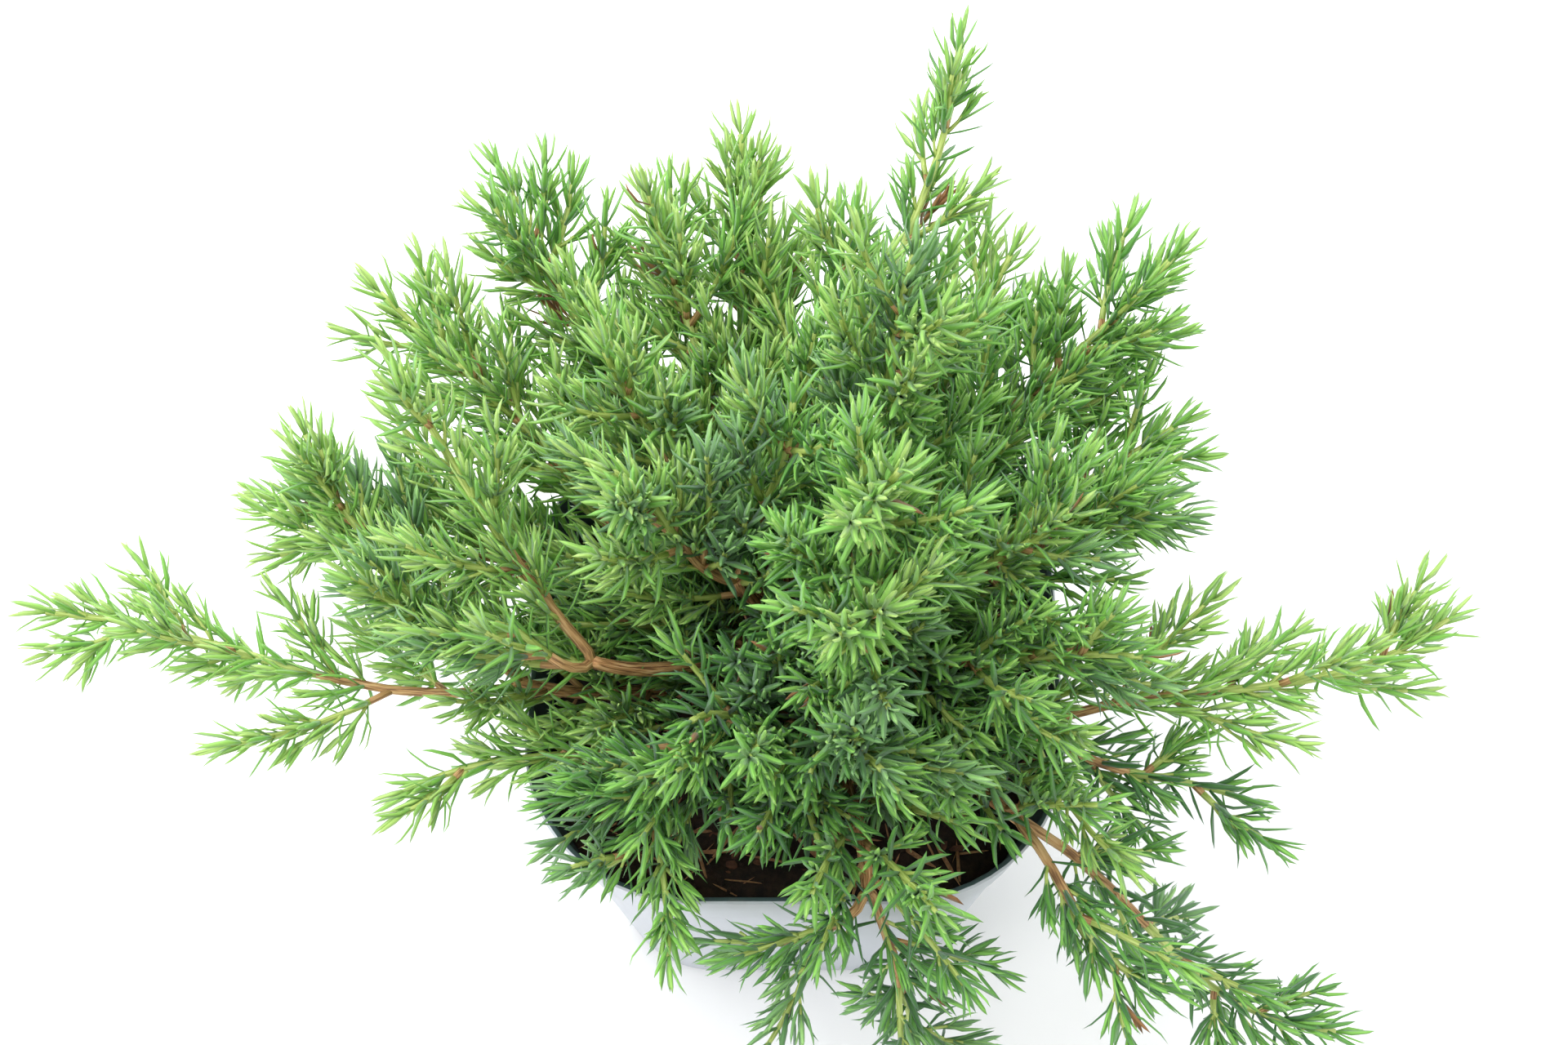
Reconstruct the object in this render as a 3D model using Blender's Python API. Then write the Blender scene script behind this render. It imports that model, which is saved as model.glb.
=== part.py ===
"""A spreading needle-leaved conifer in a rounded-square nursery pot.

The pot stands on z = 0 with its centre on the z axis. +X is to the viewer's right, +Y away from
the viewer. The shrub is a short flared trunk, tapering boughs that leave it all round, and a mass
of needled twigs on each bough's end. Every mass keeps to the space nearest its own stem.
"""
import math
import random

import bmesh
import bpy
import numpy as np
from mathutils import Matrix, Vector
from mathutils.bvhtree import BVHTree

GAP = 0.0003
STEM_GAP = 0.0005

# Pot, outer sizes in metres
POT_HALF = 0.085
POT_HEIGHT = 0.140
POT_CORNER = 0.054
POT_FOOT_HALF = 0.063
POT_FOOT_CORNER = 0.034
POT_WALL = 0.0014
POT_FLOOR = 0.0022
COLLAR_HEIGHT = 0.026
COLLAR_STEP = 0.0016
FOOT_ROUND = 0.003
CORNER_SIDES = 5
DRAIN_RADIUS = 0.005
DRAIN_SIDES = 8
DRAIN_RINGS = ((0.044, 45.0), (0.040, 0.0))

# Potting soil
SOIL_TOP = 0.120
SOIL_LUMP = 0.0022
SOIL_FLAT_RADIUS = 0.022
SOIL_EDGE_DROP = 0.003
SOIL_SIDE_GAP = 0.0005
SOIL_RING_SHARES = (0.92, 0.68, 0.45)

# Trunk
TRUNK_SIDES = 10
TRUNK_RINGS = ((0.0, 0.0098), (0.003, 0.0080), (0.009, 0.0066), (0.022, 0.0058), (0.040, 0.0046))
TRUNK_LEAN = Vector((-0.06, 0.10, 1.0))
FOOT_SWELL = 0.22
BARK_SWELL = 0.08

# Boughs
BOUGH_SIDES = 5
BOUGH_STEPS = 6
BOUGH_ROOT_RADIUS = 0.0026
BOUGH_TIP_RADIUS = 0.0019

# Twigs and needles of the foliage masses
STEM_STEPS = 8
STEM_ROOT_RADIUS = 0.0017
STEM_TIP_RADIUS = 0.0012
TWIG_STEPS = 4
TWIG_ROOT_RADIUS = 0.0014
TWIG_TIP_RADIUS = 0.0010
TWIG_EVERY = 0.0228
TWIG_ANGLE = 48.0
TWIG_LENGTH = 0.056
TWIG_SHORTENING = 0.70
TWIG_SHORTEST = 0.0125
TURN_BETWEEN_TWIGS = 137.5
TURNS_PER_TWIG = 3
NEEDLE_LENGTH = 0.021
NEEDLE_FOOT = 0.0029
NEEDLE_ANGLE = 40.0
WHORL_EVERY = 0.0142
BARE_STEM = 0.008
BARE_TWIG = 0.007
POINT_LENGTH = 0.007
NEEDLE_MARGIN = 0.0026
TWIG_MARGIN = 0.0036
LIMB_MARGIN = 0.0014
POT_MARGIN = 0.0030
LOWEST_LEAF = 0.008
TIP_FOLIAGE = 0.011
FIRST_SEED = 200
MOST_TRIES = 6
WELD = 0.000004

UP = Vector((0.0, 0.0, 1.0))

COLOURS = {
    "pot": (0.66, 0.67, 0.72, 0.42, 0.0),
    "soil": (0.060, 0.035, 0.022, 0.95, 0.0),
    "bark": (0.42, 0.21, 0.10, 0.80, 0.0),
    "foliage": (0.13, 0.33, 0.07, 0.50, 0.0),
}

# Each bough: where it leaves the trunk (height above the soil in m, azimuth in degrees, slope in
# degrees), and its end as (azimuth in degrees, reach from the pot's axis in m, height in m).
BOUGHS = {
    "bough_left": (0.007, 200, 14, (192, 0.088, 0.154)),
    "bough_front_left": (0.012, 236, 24, (230, 0.054, 0.157)),
    "bough_front": (0.007, 285, 16, (284, 0.088, 0.153)),
    "bough_front_right": (0.007, 325, 14, (317, 0.092, 0.152)),
    "bough_right_low": (0.012, 352, 18, (336, 0.084, 0.157)),
    "bough_left_back": (0.012, 160, 22, (160, 0.054, 0.160)),
    "bough_back_left": (0.014, 118, 26, (121, 0.050, 0.168)),
    "bough_back_right": (0.012, 65, 26, (66, 0.052, 0.166)),
    "bough_right_back": (0.013, 28, 26, (33, 0.054, 0.164)),
    "bough_left_arch": (0.021, 213, 34, (203, 0.066, 0.186)),
    "bough_front_mid": (0.021, 258, 36, (262, 0.034, 0.166)),
    "bough_right": (0.023, 5, 38, (3, 0.042, 0.178)),
    "bough_back": (0.024, 92, 40, (98, 0.040, 0.178)),
    "bough_back_left_high": (0.026, 140, 44, (138, 0.034, 0.182)),
    "bough_front_right_high": (0.028, 305, 46, (312, 0.030, 0.180)),
    "bough_back_right_high": (0.030, 48, 52, (52, 0.030, 0.190)),
    "bough_centre_left": (0.033, 190, 58, (178, 0.018, 0.188)),
    "bough_centre": (0.036, 330, 66, (330, 0.012, 0.192)),
}

# Each small mass inside the crown leaves the trunk itself: height, azimuth and slope as above.
INNER_STEMS = {
    "spray_inner_right": (0.019, 332, 32),
    "spray_inner_back_right": (0.019, 50, 34),
    "spray_inner_back_left": (0.020, 118, 34),
    "spray_inner_left": (0.016, 182, 26),
    "spray_inner_front_left": (0.028, 232, 28),
    "spray_inner_front": (0.016, 272, 24),
}

# Each foliage mass: its bough, its furthest tip as (azimuth, reach, height), and the way that tip
# points as (azimuth, slope), in degrees.
MASSES = {
    "spray_left_long": ("bough_left", (178, 0.250, 0.150), (180, 6)),
    "spray_left_rising": ("bough_left", (162, 0.160, 0.210), (112, 52)),
    "spray_left_front": ("bough_front_left", (203, 0.140, 0.144), (203, -12)),
    "spray_front_left": ("bough_front_left", (227, 0.108, 0.158), (175, 4)),
    "spray_front_hanging": ("bough_front", (290, 0.136, 0.044), (290, -50)),
    "spray_front_low": ("bough_front", (268, 0.112, 0.122), (268, -18)),
    "spray_right_hanging": ("bough_front_right", (331, 0.215, 0.066), (355, 0)),
    "spray_front_right": ("bough_front_right", (318, 0.164, 0.132), (350, 5)),
    "spray_right_long": ("bough_right_low", (2, 0.213, 0.162), (36, 14)),
    "spray_right_low": ("bough_right_low", (342, 0.160, 0.124), (342, -14)),
    "spray_left_back": ("bough_left_back", (145, 0.168, 0.214), (145, 32)),
    "spray_left_back_low": ("bough_left_back", (166, 0.184, 0.166), (166, 8)),
    "spray_back_left": ("bough_back_left", (126, 0.168, 0.228), (126, 38)),
    "spray_back_left_mid": ("bough_back_left", (112, 0.132, 0.232), (112, 48)),
    "spray_back_right_long": ("bough_back_right", (73, 0.178, 0.250), (90, 55)),
    "spray_back_right_low": ("bough_back_right", (58, 0.140, 0.208), (58, 35)),
    "spray_right_back": ("bough_right_back", (39, 0.158, 0.230), (39, 42)),
    "spray_right_back_low": ("bough_right_back", (24, 0.140, 0.196), (24, 28)),
    "spray_left_arch": ("bough_left_arch", (164, 0.120, 0.270), (135, 60)),
    "spray_left_arch_low": ("bough_left_arch", (196, 0.098, 0.216), (196, 40)),
    "spray_front_tuft": ("bough_front_mid", (288, 0.084, 0.224), (292, 45)),
    "spray_front_mid": ("bough_front_mid", (240, 0.068, 0.208), (240, 40)),
    "spray_right": ("bough_right", (14, 0.118, 0.214), (14, 45)),
    "spray_right_high": ("bough_right", (355, 0.080, 0.252), (355, 68)),
    "spray_back": ("bough_back", (97, 0.150, 0.232), (97, 45)),
    "spray_back_mid": ("bough_back", (80, 0.112, 0.240), (80, 58)),
    "spray_back_left_high": ("bough_back_left_high", (140, 0.076, 0.252), (140, 70)),
    "spray_front_right_high": ("bough_front_right_high", (338, 0.114, 0.222), (338, 28)),
    "spray_front_high": ("bough_front_right_high", (296, 0.056, 0.268), (296, 60)),
    "spray_back_right_high": ("bough_back_right_high", (59, 0.066, 0.290), (59, 70)),
    "spray_centre_left": ("bough_centre_left", (177, 0.058, 0.256), (177, 48)),
    "spray_centre_back": ("bough_centre_left", (92, 0.030, 0.258), (92, 68)),
    "spray_centre": ("bough_centre", (330, 0.034, 0.290), (330, 72)),
    "spray_inner_right": ("trunk", (323, 0.088, 0.184), (323, 10)),
    "spray_inner_back_right": ("trunk", (45, 0.074, 0.192), (45, 22)),
    "spray_inner_back_left": ("trunk", (116, 0.074, 0.196), (116, 25)),
    "spray_inner_left": ("trunk", (188, 0.078, 0.180), (188, 15)),
    "spray_inner_front_left": ("trunk", (221, 0.094, 0.182), (165, 14)),
    "spray_inner_front": ("trunk", (277, 0.088, 0.166), (288, 0)),
}


def clear_scene():
    for old in list(bpy.data.objects):
        bpy.data.objects.remove(old, do_unlink=True)


def make_material(name):
    red, green, blue, roughness, metallic = COLOURS[name]
    material = bpy.data.materials.new(name)
    material.use_nodes = True
    shader = material.node_tree.nodes["Principled BSDF"]
    shader.inputs["Base Color"].default_value = (red, green, blue, 1.0)
    shader.inputs["Roughness"].default_value = roughness
    shader.inputs["Metallic"].default_value = metallic
    return material


def add_object(name, bm, material, collection=None):
    mesh = bpy.data.meshes.new(name)
    bm.to_mesh(mesh)
    bm.free()
    if material:
        mesh.materials.append(material)
    obj = bpy.data.objects.new(name, mesh)
    (collection or bpy.context.scene.collection).objects.link(obj)
    return obj


def smooth(obj, angle=35.0):
    obj.data.shade_smooth()
    obj.data.set_sharp_from_angle(angle=math.radians(angle))


def polar(azimuth, reach, height):
    turn = math.radians(azimuth)
    return Vector((reach * math.cos(turn), reach * math.sin(turn), height))


def slanted(azimuth, slope):
    turn, rise = math.radians(azimuth), math.radians(slope)
    return Vector((math.cos(turn) * math.cos(rise), math.sin(turn) * math.cos(rise), math.sin(rise)))


# Pot and soil: rings of one rounded square, joined ring to ring


def rounded_square(half, corner, z):
    ring = []
    for quarter in range(4):
        for step in range(CORNER_SIDES + 1):
            turn = math.radians(90.0 * (quarter + step / CORNER_SIDES))
            centre = math.radians(90.0 * quarter + 45.0)
            middle = (half - corner) * math.sqrt(2.0)
            ring.append(
                Vector(
                    (
                        middle * math.cos(centre) + corner * math.cos(turn),
                        middle * math.sin(centre) + corner * math.sin(turn),
                        z,
                    )
                )
            )
    return ring


def loft(bm, rings):
    """Joins closed rings of equal length, first to last, and caps both ends."""
    rows = [[bm.verts.new(point) for point in ring] for ring in rings]
    count = len(rows[0])
    for low, high in zip(rows, rows[1:]):
        for i in range(count):
            j = (i + 1) % count
            bm.faces.new((low[i], low[j], high[j], high[i]))
    bm.faces.new(list(reversed(rows[0])))
    bm.faces.new(rows[-1])
    return rows


def outer_size(z):
    """Half width and corner radius of the pot's tapered outside, below the collar, at height z."""
    share = z / POT_HEIGHT
    half = POT_FOOT_HALF + (POT_HALF - COLLAR_STEP - POT_FOOT_HALF) * share
    corner = POT_FOOT_CORNER + (POT_CORNER - POT_FOOT_CORNER) * share
    return half, corner


def inner_size(z):
    half, corner = outer_size(z)
    return half - POT_WALL, corner - POT_WALL


def build_pot(material):
    collar_base = POT_HEIGHT - COLLAR_HEIGHT
    half_low, corner_low = outer_size(collar_base)
    half_top, corner_top = inner_size(POT_HEIGHT)
    half_floor, corner_floor = inner_size(POT_FLOOR)
    rings = [
        rounded_square(POT_FOOT_HALF - FOOT_ROUND, POT_FOOT_CORNER - FOOT_ROUND, 0.0),
        rounded_square(*outer_size(FOOT_ROUND), FOOT_ROUND),
        rounded_square(half_low, corner_low, collar_base),
        rounded_square(POT_HALF - COLLAR_STEP, POT_CORNER - COLLAR_STEP, collar_base + 0.0008),
        rounded_square(POT_HALF - 0.0003, POT_CORNER, POT_HEIGHT - 0.0015),
        rounded_square(POT_HALF - 0.0010, POT_CORNER - 0.0007, POT_HEIGHT),
        rounded_square(half_top, corner_top, POT_HEIGHT),
        rounded_square(half_floor, corner_floor, POT_FLOOR),
    ]
    bm = bmesh.new()
    loft(bm, rings)
    bmesh.ops.recalc_face_normals(bm, faces=bm.faces)
    pot = add_object("pot", bm, material)
    smooth(pot)
    cut_drains(pot)
    return pot


def cut_drains(pot):
    """Eight round drain holes through the floor: one near each corner and each side."""
    bm = bmesh.new()
    for reach, first in DRAIN_RINGS:
        for quarter in range(4):
            place = polar(first + 90.0 * quarter, reach, POT_FLOOR / 2.0)
            bmesh.ops.create_cone(
                bm,
                cap_ends=True,
                segments=DRAIN_SIDES,
                radius1=DRAIN_RADIUS,
                radius2=DRAIN_RADIUS,
                depth=POT_FLOOR * 3.0,
                matrix=Matrix.Translation(place),
            )
    cutter = add_object("drain_cutter", bm, None)
    cutter.hide_render = True
    cutter.display_type = "WIRE"
    cut = pot.modifiers.new("drains", "BOOLEAN")
    cut.operation = "DIFFERENCE"
    cut.object = cutter


def soil_height(x, y):
    """The soil's lumpy top, flat round the trunk's foot and level at the wall."""
    reach = math.hypot(x, y)
    rise = min(1.0, max(0.0, (reach - SOIL_FLAT_RADIUS) / 0.02))
    lumps = math.sin(x * 140.0 + 1.0) * math.cos(y * 120.0) + 0.6 * math.sin((x + y) * 230.0)
    return SOIL_TOP + rise * SOIL_LUMP * lumps


def build_soil(material):
    base = POT_FLOOR + GAP
    half_base, corner_base = inner_size(base)
    half_top, corner_top = inner_size(SOIL_TOP)
    rings = [
        rounded_square(half_base - SOIL_SIDE_GAP, corner_base - SOIL_SIDE_GAP, base),
        rounded_square(
            half_top - SOIL_SIDE_GAP, corner_top - SOIL_SIDE_GAP, SOIL_TOP - SOIL_EDGE_DROP
        ),
    ]
    for share in SOIL_RING_SHARES:
        ring = rounded_square(half_top * share, corner_top * share, 0.0)
        rings.append([Vector((p.x, p.y, soil_height(p.x, p.y))) for p in ring])
    rings.append(rounded_square(SOIL_FLAT_RADIUS, SOIL_FLAT_RADIUS, SOIL_TOP))
    bm = bmesh.new()
    loft(bm, rings)
    bmesh.ops.recalc_face_normals(bm, faces=bm.faces)
    return add_object("soil", bm, material)


# Limbs: a tapering tube along a curve


def tube(bm, points, radii, sides):
    """A closed tube whose rings stay square to the curve without twisting."""
    rings = []
    side = None
    for i, point in enumerate(points):
        ahead = points[min(i + 1, len(points) - 1)] - points[max(i - 1, 0)]
        ahead.normalize()
        if side is None:
            side = ahead.orthogonal().normalized()
        side = (side - ahead * side.dot(ahead)).normalized()
        other = ahead.cross(side)
        turns = [2.0 * math.pi * k / sides for k in range(sides)]
        rings.append(
            [point + (side * math.cos(a) + other * math.sin(a)) * radii[i] for a in turns]
        )
    loft(bm, rings)


def bend(start, leave, end, arrive, steps, reach=0.36):
    """Points along one smooth curve that leaves start and arrives at end in the given directions."""
    span = (end - start).length * reach
    a, b = start + leave * span, end - arrive * span
    points = []
    for i in range(steps + 1):
        t = i / steps
        s = 1.0 - t
        points.append(start * s**3 + a * (3 * s * s * t) + b * (3 * s * t * t) + end * t**3)
    return points


def taper(first, last, count):
    return [first + (last - first) * i / (count - 1) for i in range(count)]


def trunk_axis(height):
    return Vector((0.0, 0.0, SOIL_TOP + GAP)) + TRUNK_LEAN * height


def build_trunk(material):
    turns = [2.0 * math.pi * k / TRUNK_SIDES for k in range(TRUNK_SIDES)]
    rings = []
    for level, (height, radius) in enumerate(TRUNK_RINGS):
        flare = FOOT_SWELL if level == 0 else BARK_SWELL
        ring = []
        for k, turn in enumerate(turns):
            swell = radius * (1.0 + flare * math.cos(2.5 * turn + 0.8) ** 2)
            ring.append(trunk_axis(height) + Vector((math.cos(turn), math.sin(turn), 0.0)) * swell)
        rings.append(ring)
    bm = bmesh.new()
    loft(bm, rings)
    bmesh.ops.recalc_face_normals(bm, faces=bm.faces)
    trunk = add_object("trunk", bm, material)
    smooth(trunk)
    return trunk


def surface_of(obj):
    mesh = obj.data
    return BVHTree.FromPolygons([v.co for v in mesh.vertices], [p.vertices for p in mesh.polygons])


def on_trunk(bark, height, azimuth, slope, radius):
    """Where a limb of this radius begins: slid in until its base is just clear of the bark."""
    leave = slanted(azimuth, slope)
    away = trunk_axis(height) + leave * 3.0 * TRUNK_RINGS[0][1]
    side = leave.orthogonal().normalized() * radius
    rim = [away + Matrix.Rotation(math.radians(15.0 * k), 3, leave) @ side for k in range(24)]
    hits = [bark.ray_cast(point, -leave)[3] for point in rim]
    return away - leave * (min(hit for hit in hits if hit) - GAP)


def bough_routes(bark):
    """The centreline of each bough, from just outside the trunk's bark to its end."""
    routes = {}
    for name, (height, azimuth, slope, end) in BOUGHS.items():
        start = on_trunk(bark, height, azimuth, slope, BOUGH_ROOT_RADIUS)
        goal = polar(*end)
        tips = [polar(*tip) for bough, tip, _ in MASSES.values() if bough == name]
        onward = sum(((tip - goal).normalized() for tip in tips), Vector())
        arrive = (onward.normalized() + (goal - start).normalized()).normalized()
        routes[name] = bend(start, slanted(azimuth, slope), goal, arrive, BOUGH_STEPS)
    return routes


def build_boughs(routes, material):
    for name, points in routes.items():
        bm = bmesh.new()
        radii = taper(BOUGH_ROOT_RADIUS, BOUGH_TIP_RADIUS, len(points))
        tube(bm, points, radii, BOUGH_SIDES)
        bmesh.ops.recalc_face_normals(bm, faces=bm.faces)
        smooth(add_object(name, bm, material), 60.0)


# Foliage: stems, their space, and what grows on them


def stem_end(name):
    """Where a mass's stem ends, short of the tip of its needles, and the way it points there."""
    _, tip, heading = MASSES[name]
    arrive = slanted(*heading)
    return polar(*tip) - arrive * TIP_FOLIAGE, arrive


def stem_routes(routes, bark):
    """Each mass's stem. Two stems on one bough start side by side on its end, clear of each other."""
    stems = {}
    for name, (height, azimuth, slope) in INNER_STEMS.items():
        start = on_trunk(bark, height, azimuth, slope, STEM_ROOT_RADIUS)
        stems[name] = bend(start, slanted(azimuth, slope), *stem_end(name), STEM_STEPS)
    for bough, points in routes.items():
        names = [name for name, row in MASSES.items() if row[0] == bough]
        along = (points[-1] - points[-2]).normalized()
        apart = Vector()
        if len(names) == 2:
            apart = stem_end(names[0])[0] - stem_end(names[1])[0]
            apart = (apart - along * apart.dot(along)).normalized()
        for name, sign in zip(names, (1.0, -1.0)):
            start = points[-1] + along * STEM_GAP
            start += apart * sign * (STEM_ROOT_RADIUS + GAP)
            leave = (along * 1.3 + apart * sign * 0.7).normalized()
            stems[name] = bend(start, leave, *stem_end(name), STEM_STEPS)
    return stems


def edges_of(points):
    """Starts and spans of a curve's edges, as arrays, for the distance test."""
    array = np.array([tuple(p) for p in points])
    return array[:-1], array[1:] - array[:-1]


def join_edges(curves):
    starts, spans = zip(*curves)
    return np.concatenate(starts), np.concatenate(spans)


def distance(point, edges):
    """Shortest distance from a point to a curve."""
    starts, spans = edges
    offset = np.array(tuple(point)) - starts
    share = (offset * spans).sum(1) / (spans * spans).sum(1)
    nearest = offset - spans * np.clip(share, 0.0, 1.0)[:, None]
    return float(np.sqrt((nearest * nearest).sum(1)).min())


def square_distance(point, half, corner):
    """Distance outside a rounded square in plan, negative inside it."""
    x, y = abs(point.x) - (half - corner), abs(point.y) - (half - corner)
    return math.hypot(max(x, 0.0), max(y, 0.0)) + min(max(x, y), 0.0) - corner


def clear_of_pot(point):
    if point.z < LOWEST_LEAF:
        return False
    if point.z > POT_HEIGHT + POT_MARGIN:
        return True
    if square_distance(point, POT_HALF, POT_CORNER) > POT_MARGIN:
        return True
    inside = square_distance(point, *inner_size(point.z)) < -POT_MARGIN
    return inside and point.z > SOIL_TOP + SOIL_LUMP * 1.6 + POT_MARGIN


class Space:
    """What one mass may fill: the points nearer to its own stem than to any other mass's stem,
    clear of every limb and of the pot."""

    def __init__(self, name, stems, limbs):
        self.own = edges_of(stems[name])
        self.others = join_edges(edges_of(route) for key, route in stems.items() if key != name)
        self.limbs = join_edges(limbs)

    def holds(self, point, margin):
        if not clear_of_pot(point) or distance(point, self.limbs) < BOUGH_ROOT_RADIUS + LIMB_MARGIN:
            return False
        return distance(point, self.others) - distance(point, self.own) > margin

    def holds_line(self, start, end, skip, margin, samples=6):
        shares = (skip + (1.0 - skip) * k / (samples - 1) for k in range(samples))
        return all(self.holds(start.lerp(end, share), margin) for share in shares)


def limb_edges(routes):
    """Every bough's centreline, and upright lines all round the trunk's bark."""
    lines = list(routes.values())
    for side in range(TRUNK_SIDES):
        out = slanted(360.0 * side / TRUNK_SIDES, 0.0)
        lines.append([trunk_axis(height) + out * radius for height, radius in TRUNK_RINGS])
    return [edges_of(line) for line in lines]


def along_curve(points, share):
    """Point and direction at a share of a curve's length."""
    lengths = [(b - a).length for a, b in zip(points, points[1:])]
    left = share * sum(lengths)
    for a, b, length in zip(points, points[1:], lengths):
        if left <= length:
            return a.lerp(b, left / length), (b - a).normalized()
        left -= length
    return points[-1], (points[-1] - points[-2]).normalized()


def curve_length(points):
    return sum((b - a).length for a, b in zip(points, points[1:]))


def fan(along, turn, angle):
    """A direction at an angle to along, turned about it; zero turn points up where it can."""
    side = UP - along * UP.dot(along)
    side = side.normalized() if side.length > 0.05 else along.orthogonal().normalized()
    side = Matrix.Rotation(math.radians(turn), 3, along) @ side
    lean = math.radians(angle)
    return (along * math.cos(lean) + side * math.sin(lean)).normalized()


def twig_route(base, along, turn, share, rng):
    """One side twig: it leaves at an angle and bends towards its stem's way and the light."""
    reach = TWIG_LENGTH * (1.0 - TWIG_SHORTENING * share) * rng.uniform(0.75, 1.15)
    leave = fan(along, turn, TWIG_ANGLE + rng.uniform(-8.0, 8.0))
    arrive = (leave + along * 0.6 + UP * 0.55).normalized()
    points = [base]
    for step in range(TWIG_STEPS):
        heading = leave.lerp(arrive, (step + 0.5) / TWIG_STEPS).normalized()
        points.append(points[-1] + heading * (reach / TWIG_STEPS))
    return points


def trimmed(points, space):
    """The part of a twig that stays in the space, or None when too little is left."""
    kept = [points[0]]
    for a, b in zip(points, points[1:]):
        if not space.holds_line(a, b, 0.3, TWIG_MARGIN):
            break
        kept.append(b)
    return kept if len(kept) > 1 and curve_length(kept) >= TWIG_SHORTEST else None


def grow_twigs(stem, space, rng):
    """Side twigs by the seeded rule: a spiral up the stem, shorter towards its tip. A twig with
    no room turns on round the stem until it finds some, or is left out."""
    count = max(3, round(curve_length(stem) / TWIG_EVERY))
    turn = rng.uniform(0.0, 360.0)
    twigs = []
    for k in range(count):
        share = 0.08 + 0.80 * (k + 0.5) / count
        base, along = along_curve(stem, share)
        for _ in range(TURNS_PER_TWIG):
            turn += TURN_BETWEEN_TWIGS + rng.uniform(-15.0, 15.0)
            twig = trimmed(twig_route(base, along, turn, share, rng), space)
            if twig:
                twigs.append(twig)
                break
    return twigs


def needled_tube(bm, points, radii, rng, space, bare):
    """A three-sided twig that ends in a point, with whorls of needles drawn out of its sides.

    Each whorl is a pair of rings one needle's foot apart. Half of each side between them is the
    foot of a needle, left flat where the needle would leave the mass's space. The next whorl is
    turned by half a side, so that its needles stand in the gaps of the last.
    """
    length = curve_length(points)
    count = max(1, round((length - bare) / WHORL_EVERY))
    shares = [0.0]
    for k in range(count):
        middle = bare + (length - bare) * (k + 0.6) / count
        shares += [(middle - NEEDLE_FOOT / 2.0) / length, (middle + NEEDLE_FOOT / 2.0) / length]
    turn = rng.uniform(0.0, 120.0)
    side = None
    last = None
    for i, share in enumerate(shares):
        centre, along = along_curve(points, share)
        side = (side - along * side.dot(along)).normalized() if side else along.orthogonal()
        side.normalize()
        turn += 60.0 if i % 2 else 0.0
        radius = radii[0] + (radii[1] - radii[0]) * share
        outs = [Matrix.Rotation(math.radians(turn + 120.0 * k), 3, along) @ side for k in range(3)]
        ring = [bm.verts.new(centre + out * radius) for out in outs]
        if last is None:
            bm.faces.new((ring[2], ring[1], ring[0]))
        for k in range(3) if last else ():
            a, b, c, d = last[k], last[(k + 1) % 3], ring[(k + 1) % 3], ring[k]
            if i % 2:
                bm.faces.new((a, b, d))
                bm.faces.new((b, c, d))
                continue
            bm.faces.new((a, b, c))
            foot = (a.co + c.co + d.co) / 3.0
            out = Matrix.Rotation(math.radians(rng.uniform(-16.0, 16.0)), 3, along) @ (
                outs[k] + outs[(k + 1) % 3]
            ).normalized()
            lean = math.radians(NEEDLE_ANGLE * (1.0 - 0.3 * share) + rng.uniform(-6.0, 6.0))
            heading = along * math.cos(lean) + out * math.sin(lean)
            tip = foot + heading * NEEDLE_LENGTH * rng.uniform(0.85, 1.1)
            if space.holds_line(foot, tip, 0.3, NEEDLE_MARGIN):
                point = bm.verts.new(tip)
                for start, end in ((a, c), (c, d), (d, a)):
                    bm.faces.new((start, end, point))
            else:
                bm.faces.new((a, c, d))
        last = ring
    point = bm.verts.new(points[-1] + along * POINT_LENGTH)
    for k in range(3):
        bm.faces.new((last[k], last[(k + 1) % 3], point))


def twig_object(name, points, radii, rng, space, bare, collection):
    bm = bmesh.new()
    needled_tube(bm, points, radii, rng, space, bare)
    return add_object(name, bm, None, collection)


def grow_pieces(name, stem, space, rng):
    """A mass's needled stem, and a collection of the needled twigs that grow on it."""
    collection = bpy.data.collections.new(name + "_pieces")
    bpy.context.scene.collection.children.link(collection)
    radii = (TWIG_ROOT_RADIUS, TWIG_TIP_RADIUS)
    for k, twig in enumerate(grow_twigs(stem, space, rng)):
        twig_object(f"{name}_twig_{k}", twig, radii, rng, space, BARE_TWIG, collection)
    radii = (STEM_ROOT_RADIUS, STEM_TIP_RADIUS)
    home = bpy.context.scene.collection
    return twig_object(name, stem, radii, rng, space, BARE_STEM, home), collection


def is_sound(mesh):
    """Whether the mesh stays one closed surface when points that nearly coincide are joined."""
    bm = bmesh.new()
    bm.from_mesh(mesh)
    bmesh.ops.remove_doubles(bm, verts=bm.verts, dist=WELD)
    sound = all(edge.is_manifold for edge in bm.edges) and all(v.is_manifold for v in bm.verts)
    bm.free()
    return sound


def build_mass(name, stem, space, seed, material):
    """Grows a mass, again from the next seed where its union comes out with a pinched edge."""
    for attempt in range(MOST_TRIES):
        mass, collection = grow_pieces(name, stem, space, random.Random(seed + 1000 * attempt))
        fuse(mass, collection)
        if is_sound(mass.data):
            break
        if attempt < MOST_TRIES - 1:
            bpy.data.objects.remove(mass, do_unlink=True)
    mass.data.materials.clear()
    mass.data.materials.append(material)


def keep_outer_shell(mesh):
    """Fills any hollow that the union sealed and drops any loose scrap: one shell is kept."""
    bm = bmesh.new()
    bm.from_mesh(mesh)
    left = set(bm.faces)
    shells = []
    while left:
        shell, front = set(), [left.pop()]
        while front:
            face = front.pop()
            shell.add(face)
            for near in {other for edge in face.edges for other in edge.link_faces} & left:
                left.discard(near)
                front.append(near)
        shells.append(shell)
    shells.sort(key=len)
    for shell in shells[:-1]:
        bmesh.ops.delete(bm, geom=list(shell), context="FACES")
    bm.to_mesh(mesh)
    bm.free()


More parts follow.
